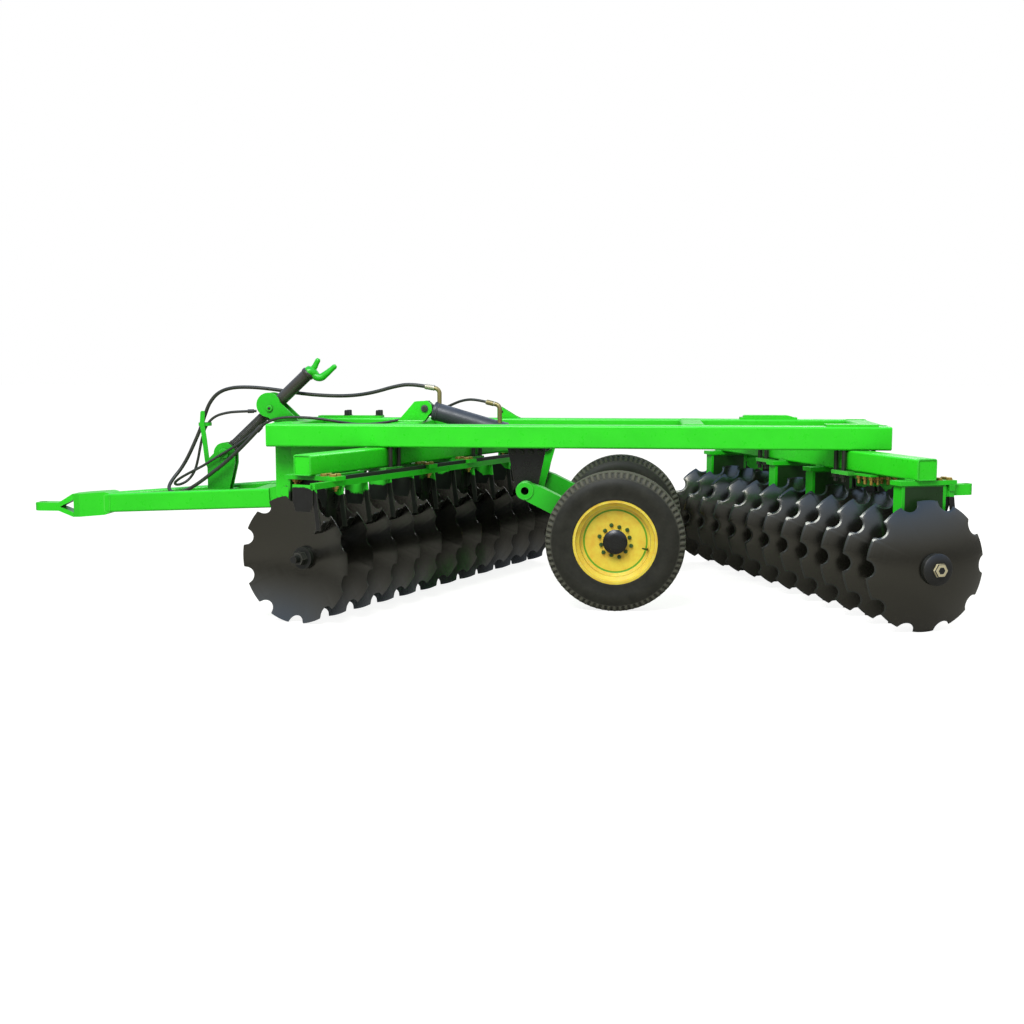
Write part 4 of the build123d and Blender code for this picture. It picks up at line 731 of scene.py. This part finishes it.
def implement_tyre():
    """A tyre about z: a cross-section from bead to bead turned round. The ribs stand out as a
    smooth square wave across the tread, and 72 blocks round each shoulder as the cosine of 72
    times the angle. The section closes along the rim seat."""
    side = np.array([
        (223, 87.5), (225, 93), (228, 98.2), (233, 99.6), (242, 98.8), (252, 99.4), (262, 101),
        (272, 102), (286, 104.4), (298, 105.2),
        (309, 104.5), (320, 102.5), (330, 99.6), (339, 96.2), (345, 94.2), (348, 94.4),
        (355, 90.8), (364, 86.4), (371, 79.5), (375.2, 72.5),
    ])
    across = np.linspace(68.5, -68.5, 47)
    wave = np.cos(2 * np.pi * across / 27.4)
    rib = 1 / (1 + np.exp(7 * (wave + 0.35)))
    crown = 376.8 - 1.8 * (across / 68.5) ** 4 - 7.5 * (1 - rib) * (np.abs(across) < 62)
    profile = np.concatenate([side, np.stack([crown, across], -1), side[::-1] * [1, -1]])
    profile = np.concatenate([profile, profile[:1]])
    angle = np.linspace(0, 2 * np.pi, BLOCKS * 7 + 1)
    radii = profile[:, :1] + 0 * angle
    shoulder = np.clip((radii - 346) / 6, 0, 1) * (np.abs(profile[:, 1:]) > 66)
    cut = 1 / (1 + np.exp(6 * (np.cos(BLOCKS * angle) + 0.1)))
    radii = radii - 7.0 * shoulder * cut
    widths = profile[:, 1:] - np.sign(profile[:, 1:]) * 4.5 * shoulder * cut
    grid = np.stack([radii * np.cos(angle), radii * np.sin(angle), widths], axis=-1) / 1000
    tread = np.clip((radii - 341) / 12, 0, 1) * (1 - 0.75 * shoulder * cut)
    return surface(grid, mark=tread)


# Carbon-black rubber: satin brown-black sides, paler and duller where the tread meets the road.
tyre_rubber, tree, shader, here = start_material("carbon_black_rubber", "#30312b", 0.55)
give(shader, "Specular IOR Level", 0.24)
scuffs = add_node(tree, "TexNoise", here, Scale=16.0, Detail=8.0, Roughness=0.7)
tread = add_node(tree, "Attribute", attribute_name="tread").outputs["Fac"]
road = add_node(tree, "Math", scuffs, 0.4, tread, operation="MULTIPLY_ADD", use_clamp=True)
lay_over(shader, road, "#5b5b50", "#0f100c")
give(shader, "Roughness", add_node(tree, "MapRange", road, 0.0, 1.0, 0.38, 0.78))
skin = add_node(tree, "TexNoise", here, Scale=420.0, Detail=3.0)
give(shader, "Normal", add_node(tree, "Bump", Strength=0.3, Distance=0.0007, Height=skin))

# Yellow rim enamel, clouded from ochre to lemon by its thin coats, with a brushed green pinstripe
# round the wheel's middle.
STRIPE_RADIUS, HALF_STRIPE = 0.1690, 0.0048
wheel_centre = spot(0, 0, 377)
rim_yellow, tree, shader, here = painted(
    "yellow_rim_enamel", "#ecd94a", "#dc9a26", "#f4eeb0", 0.34, "#c8b777", 0.15, 0.15, 17.0)
centred = add_node(tree, "Mapping", here, Location=tuple(0 - wheel_centre), Scale=(1.0, 0.0, 1.0))
reach = add_node(tree, "VectorMath", centred, operation="LENGTH")
line = add_node(tree, "Math", reach, STRIPE_RADIUS, HALF_STRIPE, operation="COMPARE")
lay_over(shader, line, "#62a41c")

# The wheel nuts, valve and their studs carry a dark green enamel.
dark_green, *_ = painted(
    "dark_green_enamel", "#1e4a1f", "#163616", "#4d8a49", 0.34, "#4e5f42", 0.1)
# The caps and the lift parts below the frame carry a black gloss enamel.
black_enamel, *_ = painted(
    "black_gloss_enamel", "#171714", "#0f0f0d", "#4a493f", 0.26, "#45443b", 0.1)

TYRE = implement_tyre()
HALF_TRACK = 0.626
# The twelve nuts stand on two circles in turn.
angles = np.radians(np.array([15.9, 45.0]) + 60 * np.arange(6)[:, None]).ravel()
circle = -np.stack([np.cos(angles), 0 * angles, np.sin(angles)], axis=-1)
circle *= np.tile([0.0885, 0.0785], 6)[:, None]
for side_name, side in (("left", 1), ("right", -1)):
    outward = np.array([0.0, side, 0])
    centre = wheel_centre + HALF_TRACK * outward
    body = f"{side_name}_wheel"
    tyre = add_piece(
        f"{side_name}_ribbed_tyre", placed(TYRE, centre, np.array([1.0, 0, 0]), outward),
        tyre_rubber, body, 32, "tread")
    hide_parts(f"{side_name}_tyre")
    paint(rim_yellow, f"{side_name}_rim")
    paint(black_enamel, f"{side_name}_hub_cap")
    wheel_nuts = joined([
        copies(nut(16.5, 12, 5), centre + 0.030 * outward + circle, outward),
        copies(nut(18, 10), centre + 0.020 * outward + circle, -outward),
    ])
    add_piece(f"{side_name}_wheel_nuts", wheel_nuts, dark_green, body)
    foot = centre + np.array([-0.171, side * 0.034, -0.041])
    valve = tube(
        [
            foot - outward * 0.012, foot + outward * 0.012,
            foot + outward * 0.026 + [0.012, 0, 0.004], foot + outward * 0.034 + [0.026, 0, 0.008]
        ],
        [0.0065, 0.0062, 0.0045, 0.004], 14)
    add_piece(f"{side_name}_valve", valve, dark_green, body)

# ---------------------------------------------------------------- wheel lift
# A thick rockshaft tube turns in two plates under the frame and carries the wheel arms and the
# lift lever, welded to it all round. Arms and lever are green, the plates near black.
paint(shaded_enamel, "rockshaft", "wheel_arms", "lift_lever")
paint(black_enamel, "rockshaft_hangers")
shaft, ON_SHAFT = mm(505, 0, 628), 46
BOTH_WAYS = [(0, 1, 0), (0, -1, 0)]


def ring(centre, radius, normal=(0, 1, 0)):
    """Points round a circle square to a direction."""
    normal = np.asarray(normal, float)
    across = np.cross(normal, (0.0, 0, 1) if abs(normal[2]) < 0.9 else (1.0, 0, 0))
    across /= np.linalg.norm(across)
    third = np.cross(normal, across)
    angle = np.linspace(0, 2 * np.pi, 49)
    return centre + radius * (np.outer(np.cos(angle), across) + np.outer(np.sin(angle), third))


seams = [ring(shaft + [0, side * face, 0], ON_SHAFT) for side in (1, -1) for face in (496, 413)]
seams += [ring(shaft + [0, side * 16, 0], ON_SHAFT) for side in (1, -1)]
seams += [ring(mm(0, side * 497, 377), 32) for side in (1, -1)]
add_piece("rockshaft_welds", welds(seams, 9), shaded_enamel, "wheel_lift")

# The stub axles are turned steel under a film of grease.
turned_steel, _, shader, _ = painted(
    "greased_turned_steel", "#8d8f8c", "#6f706c", "#c4c6c2", 0.28, "#8a887a", 0.06)
give(shader, "Metallic", 0.85)
paint(turned_steel, "stub_axles")
paint(green_enamel, "drawbar_hinge_pins")

plate_heads = [
    spot(505 + shift, side * 396, 836) for side in (1, -1) for shift in (-78, -26, 26, 74)]
outward = [(0, side, 0) for side in (1, -1) for _ in range(4)]
add_piece(
    "rockshaft_plate_bolts", copies(nut(26, 13), plate_heads, outward), black_bolts, "frame")
top_seams = [run(395, 611, side * (386 + edge * 11), 862) for side in (1, -1) for edge in (1, -1)]
add_piece("rockshaft_plate_welds", welds(top_seams), black_enamel, "frame")

# ---------------------------------------------------------------- lift cylinder
# A welded hydraulic ram between two bracket plates and the lever: painted barrel with a screwed
# gland, a ground and chromed rod, and pins with turned washers at their ends.
paint(green_enamel, "cylinder_bracket")
# Slate grey enamel: cool and satin, with little dirt on it.
grey_enamel, *_ = painted(
    "slate_grey_enamel", "#43474c", "#2d2f32", "#7c8184", 0.36, "#5a5b56", 0.08)
paint(grey_enamel, "cylinder_barrel")
# Hard chrome: a pale mirror, barely clouded.
chrome, _, shader, _ = painted(
    "hard_chrome", "#c9cccd", "#b9bcbc", "#e4e6e6", 0.12, "#b5b5ae", 0.02)
give(shader, "Metallic", 1.0)
paint(chrome, "cylinder_rod")
base = spot(1137, 0, 1064)
reach = spot(430, 0, 858) - base
ram = reach / np.linalg.norm(reach)
gland_profile = [
    (25.5, 0), (53.5, 0), (56.5, 3), (56.5, 12), (54.5, 14), (54.5, 20), (56.5, 22), (56.5, 34),
    (53, 38), (36, 40), (34, 44), (25.5, 44), (25.5, 0)]
foot_profile = [(45, 0), (54.5, 0), (56.2, 3), (56.2, 18), (54.5, 21), (45, 21), (45, 0)]
gland = lathe(gland_profile, 60)
foot_ring = lathe(foot_profile, 60)
rings = joined(
    [copies(gland, base + ram * 0.458, ram), copies(foot_ring, base + ram * 0.052, ram)])
add_piece("cylinder_gland", rings, grey_enamel, "cylinder_barrel")
weld_rings = [ring(base * 1000 + ram * 74, 53.5, ram), ring(base * 1000 + ram * 50, 40, ram)]
add_piece("cylinder_welds", welds(weld_rings, 7), grey_enamel, "cylinder_barrel")
pin_washer = lathe([(0, 0), (20.5, 0), (20.5, 4), (16, 5), (16, 12), (14, 14), (0, 14)], 32)
pin_places = [base + [0, side * 0.0415, 0] for side in (1, -1)]
add_piece(
    "cylinder_pin_washers", copies(pin_washer, pin_places, BOTH_WAYS), dark_steel,
    "cylinder_barrel")

# ---------------------------------------------------------------- drawbar
# Two rolled tubes meet in the boxed hitch head and spread to a pair of pinned lugs; two ties and
# the tower for the levelling screw are welded between them. Gloss enamel as on the frame.
paint(green_enamel, "drawbar_rail_left", "drawbar_rail_right", "drawbar_ties", "hitch_head")
paint(green_enamel, "drawbar_hinge_brackets")
paint(shaded_enamel, "screw_tower", "hose_stand", "trunnion_ears")


# The ends of a rail's middle line, ahead, left and up, and the rail's radius.
RAIL_FRONT, RAIL_REAR, RAIL_RADIUS = (3110, 40, 487), (1990, 296, 556), 36


def rail_side(ahead, side, face, rise):
    """A place on a rail's side: face is 1 outside and -1 inside, rise is from its middle."""
    share = (ahead - RAIL_FRONT[0]) / (RAIL_REAR[0] - RAIL_FRONT[0])
    left, height = (a + share * (b - a) for a, b in zip(RAIL_FRONT[1:], RAIL_REAR[1:]))
    return mm(ahead, side * (left + face * RAIL_RADIUS), height + rise)


seams = []
for side in (1, -1):
    for ahead in (2390, 2080):
        for edge in (66, -66):
            seams.append(
                [rail_side(ahead + edge, side, -1, 42), rail_side(ahead + edge, side, -1, -16)])
        seams.append([rail_side(ahead + 62, side, -1, 46), rail_side(ahead - 62, side, -1, 46)])
    seams.append([rail_side(3048, side, 1, 50), rail_side(3050, side, 1, -50)])
    for plate in (25, 41):
        seams.append(run(2326, 2454, side * plate, 574))
add_piece("drawbar_welds", welds(seams), green_enamel, "drawbar")

seams = [run(1837, 1951, side * 300 + edge, 862) for side in (1, -1) for edge in (38.5, -38.5)]
seams += [
    [
        mm(ahead, side * plate, height) for ahead,
        height in ((1888, 991), (1958, 991), (1961, 932))
    ] for plate in (43, 69) for side in (1, -1)
]
for side in (1, -1):
    seams += [run(1141, 1294, side * plate, 991) for plate in (24, 42)]
    seams += [run(620, 756, plate, 991) for plate in (-411, -461)]
add_piece("bracket_welds", welds(seams), green_enamel)

# Cotters of half-round wire, and the pins' grease nipples.
hinge = spot(1893, 0, 596)
cotters, nipples = [], []
for side in (1, -1):
    for end in (1, -1):
        middle = hinge + [0, side * 0.300 + end * 0.0405, 0]
        bent = middle + np.array([(0, 0, 34), (0, 0, -36), (8, 0, -44)]) / 1000
        cotters.append(tube(bent, 0.0026, 8))
    nipples.append(hinge + [0, side * 0.300, 0.045])
add_piece("hinge_cotters", joined(cotters), turned_steel, "frame")
nipple = lathe([(0, 0), (6, 0), (6, 4), (3.2, 5), (3.2, 10), (4.6, 12), (3, 16), (0, 16.5)], 12)
add_piece("hinge_nipples", copies(nipple, nipples, (0, 0, 1)), gold_zinc, "drawbar")
pin_cap = lathe([(0, -7.5), (29.8, -7.5), (29.8, 0.5), (26.5, 3.5), (0, 3.5)], 40)
pin_caps = [spot(2350, side * 53, 792) for side in (1, -1)]
add_piece(
    "screw_pin_caps", copies(pin_cap, pin_caps, BOTH_WAYS), shaded_enamel, "levelling_screw")

# ---------------------------------------------------------------- levelling screw
# A screw jack sets the drawbar's pitch: a black tube with an inner nut swings on trunnions in
# the ears, and the threaded bar below it is pinned to the tower. The fork turns it.

# Brown-black enamel: near black in the shade and warm where light falls on it.
brown_black, *_ = painted(
    "brown_black_enamel", "#45423b", "#2a2824", "#77736a", 0.27, "#5c5a4e", 0.08)
paint(brown_black, "levelling_tube")
screw_foot = spot(2350, 0, 792)
trunnion = spot(2060, 0, 1062)
screw_line = (trunnion - screw_foot) / np.linalg.norm(trunnion - screw_foot)
collar = lathe(
    [
        (37.2, 0), (40, 2), (41.5, 6), (41.5, 18), (40, 22), (37.2, 24), (36.8, 24), (36.8, 0),
        (37.2, 0)],
    48)
add_piece(
    "levelling_collars",
    copies(collar, [trunnion - screw_line * 0.0695, trunnion + screw_line * 0.286], screw_line),
    brown_black, "levelling_tube")
# The fork's bar is bent round in a half turn, and its root is forged into a socket on the tube.
tube_end = trunnion + screw_line * 0.310
level_side = np.cross(screw_line, (0, 1.0, 0))
half_turn = np.linspace(0, np.pi, 17)
bend = np.stack([50 - 38 * np.sin(half_turn), -36 + 38 * np.cos(half_turn)], axis=-1)
fork_path = np.concatenate([[(98, 19), (70, 10)], bend, [(80, -77), (146, -80)]]) / 1000
fork_line = tube_end + fork_path[:, :1] * screw_line - fork_path[:, 1:] * level_side
fork_line, stations = evened(fork_line, 60)
from_tip = np.minimum(stations, stations[-1] - stations)
fork_radius = 0.0155 + 0.008 * np.clip(from_tip / 0.09 - 0.35, 0, 1)
fork_radius -= 0.006 * np.exp(-((from_tip / 0.006) ** 2))
crotch = np.array([(-4, 0), (4, 0), (13, -9), (20, -26), (26, -44)]) / 1000
crotch = tube_end + crotch[:, :1] * screw_line - crotch[:, 1:] * level_side
socket = tube(crotch, [0.0372, 0.0372, 0.031, 0.025, 0.016], 32)
fork = joined([tube(fork_line, fork_radius, 18), socket])
fork_piece = add_piece("forged_fork", fork, shaded_enamel, "levelling_tube", 40)
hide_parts("levelling_handle")
cap = lathe([(0, 0), (18.5, 0), (18.5, 4), (16.5, 6), (0, 6)], 32)
caps = [trunnion + [0, side * 0.0715, 0] for side in (1, -1)]
add_piece(
    "trunnion_caps", copies(cap, caps, BOTH_WAYS), shaded_enamel, "levelling_tube")
dot = lathe([(0, 0), (8.5, 0), (8.5, 8), (6, 10.5), (0, 10.5)], 14)
add_piece(
    "trunnion_nipples", copies(dot, caps, BOTH_WAYS), black_bolts, "levelling_tube")

# The bar is black-oiled steel with a square thread, bright on its crests.
THREAD_PITCH = 0.008
screw_steel, tree, shader, here = painted(
    "oiled_screw_steel", "#3a3832", "#24221e", "#8b887c", 0.3, "#4a4840", 0.05)
turns = tuple(screw_line * 2 * np.pi / THREAD_PITCH)
up_bar = add_node(tree, "VectorMath", here, turns, operation="DOT_PRODUCT")
beside = add_node(tree, "VectorMath", here, tuple(level_side), operation="DOT_PRODUCT")
centred = add_node(tree, "Math", beside, float(trunnion @ level_side), operation="SUBTRACT")
left = add_node(tree, "SeparateXYZ", here).outputs["Y"]
around = add_node(tree, "Math", left, centred, operation="ARCTAN2")
phase = add_node(tree, "Math", up_bar, around, operation="ADD")
helix = add_node(tree, "Math", phase, operation="SINE")
give(shader, "Normal", add_node(tree, "Bump", Strength=1.0, Distance=0.0022, Height=helix))
lay_over(shader, add_node(tree, "MapRange", helix, 0.2, 0.9, 0.0, 0.55), "#77766c")
paint(screw_steel, "levelling_screw")

# ---------------------------------------------------------------- hydraulic hoses
# Two wire-braided rubber hoses feed the lift cylinder. They run over the front beam, hang in a
# loop on the drawbar's stand and end in quick couplers that are parked beside the levelling screw.

LIFT_HOSE = np.array([
    (1135, 0, 1191), (1225, -2, 1207), (1330, -14, 1190), (1450, -32, 1155), (1590, -52, 1133),
    (1760, -62, 1134), (1920, -66, 1148), (2070, -66, 1172), (2210, -64, 1185), (2330, -66, 1182),
    (2415, -70, 1152), (2470, -72, 1090), (2500, -72, 1015), (2528, -72, 935), (2567, -70, 850),
    (2606, -62, 765), (2648, -48, 690), (2692, -10, 628), (2700, 52, 578), (2642, 96, 552),
    (2562, 100, 574), (2484, 101, 622), (2410, 101, 678), (2335, 102, 732), (2262, 106, 796),
    (2190, 110, 864), (2125, 114, 930),
])
RETURN_HOSE = np.array([
    (774, 0, 1101), (850, -18, 1118), (925, -45, 1110), (1000, -72, 1080), (1085, -90, 1038),
    (1180, -93, 1005), (1290, -80, 995), (1410, -40, 972), (1530, 20, 965), (1650, 70, 985),
    (1770, 90, 1006), (1880, 93, 1012), (1985, 92, 1010), (2070, 80, 985), (2145, 71, 928),
    (2220, 69, 872), (2300, 68, 820), (2385, 72, 772), (2465, 70, 722), (2545, 70, 682),
    (2622, 60, 642), (2676, 14, 606), (2668, -46, 590), (2622, -84, 612), (2582, -100, 668),
    (2560, -100, 740), (2544, -98, 815), (2526, -96, 888), (2500, -96, 955), (2448, -96, 1008),
    (2370, -96, 1030), (2300, -96, 1036), (2240, -96, 1038),
])

# Vulcanised chloroprene cover over wire braid: near black, faintly wrapped, dulled by handling.
hose_rubber, tree, shader, here = start_material("chloroprene_hose_cover", "#1d1f1a", 0.42)
turns = add_node(tree, "UVMap", uv_map="UVMap")
wrap = add_node(
    tree, "TexWave", turns, wave_type="BANDS", bands_direction="Y", Scale=55.0, Distortion=1.2,
    Detail=1.0).outputs["Fac"]
dust = add_node(tree, "TexNoise", here, Scale=9.0, Detail=5.0)
lay_over(shader, dust, "#3f4137", "#1d1f18")
give(shader, "Roughness", add_node(tree, "MapRange", dust, 0.0, 1.0, 0.3, 0.6))
give(shader, "Normal", add_node(tree, "Bump", Strength=0.25, Distance=0.0006, Height=wrap))

# The ferrules are plated steel with a pale cream cast.
pale_zinc, _, shader, _ = painted(
    "pale_plated_steel", "#bdb7a2", "#9c957c", "#dedac8", 0.38, "#a39c86", 0.05)
give(shader, "Metallic", 0.5)
# The elbows are dipped in a tan chromate after bending.
tan_steel, _, shader, _ = painted(
    "tan_chromated_steel", "#9c9061", "#7d7148", "#cfc594", 0.36, "#8a8060", 0.05)
give(shader, "Metallic", 0.5)
paint(tan_steel, "cylinder_fittings")
paint(dark_steel, "lift_hose_coupler", "return_hose_coupler")

FERRULE_LENGTH = 56
for hose_name, route, hose_radius, hose_length in (
    ("lift_hose", LIFT_HOSE, 0.011, 2.70),
    ("return_hose", RETURN_HOSE, 0.008, 2.87),
):
    course = bpy.data.curves.new(f"{hose_name}_course", "CURVE")
    course.dimensions = "3D"
    course.resolution_u = 6
    spline = course.splines.new("NURBS")
    control = (route - np.array([3504.0, 0, 460.0])) / 1000
    spline.points.add(len(control) - 1)
    spline.points.foreach_set("co", np.c_[control, np.ones(len(control))].ravel())
    spline.order_u = 3
    spline.use_endpoint_u = True
    course_object = bpy.data.objects.new(f"{hose_name}_course", course)
    course_mesh = bpy.data.meshes.new_from_object(course_object)
    line = np.zeros(len(course_mesh.vertices) * 3)
    course_mesh.vertices.foreach_get("co", line)
    line = line.reshape(-1, 3)
    bpy.data.objects.remove(course_object)
    hose = add_piece(
        f"{hose_name}_tube", tube(line, hose_radius, 16), hose_rubber, None)
    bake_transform(hose)
    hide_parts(hose_name)
    # The ferrule is crimped on in rings over the hose's end.
    wide = hose_radius * 1000 + 5.6
    steps = np.linspace(0, FERRULE_LENGTH, 33)
    grip = wide - 1.4 * (np.sin(steps * np.pi / 7) > 0.2)
    ferrule = lathe(
        np.concatenate([[(0, 0)], np.stack([grip, steps], -1), [(0, FERRULE_LENGTH)]]), 24)
    inward = line[0] - line[1]
    add_piece(
        f"{hose_name}_ferrule",
        copies(ferrule, line[0] - inward / np.linalg.norm(inward) * 0.004, inward), pale_zinc,
        "cylinder_barrel")
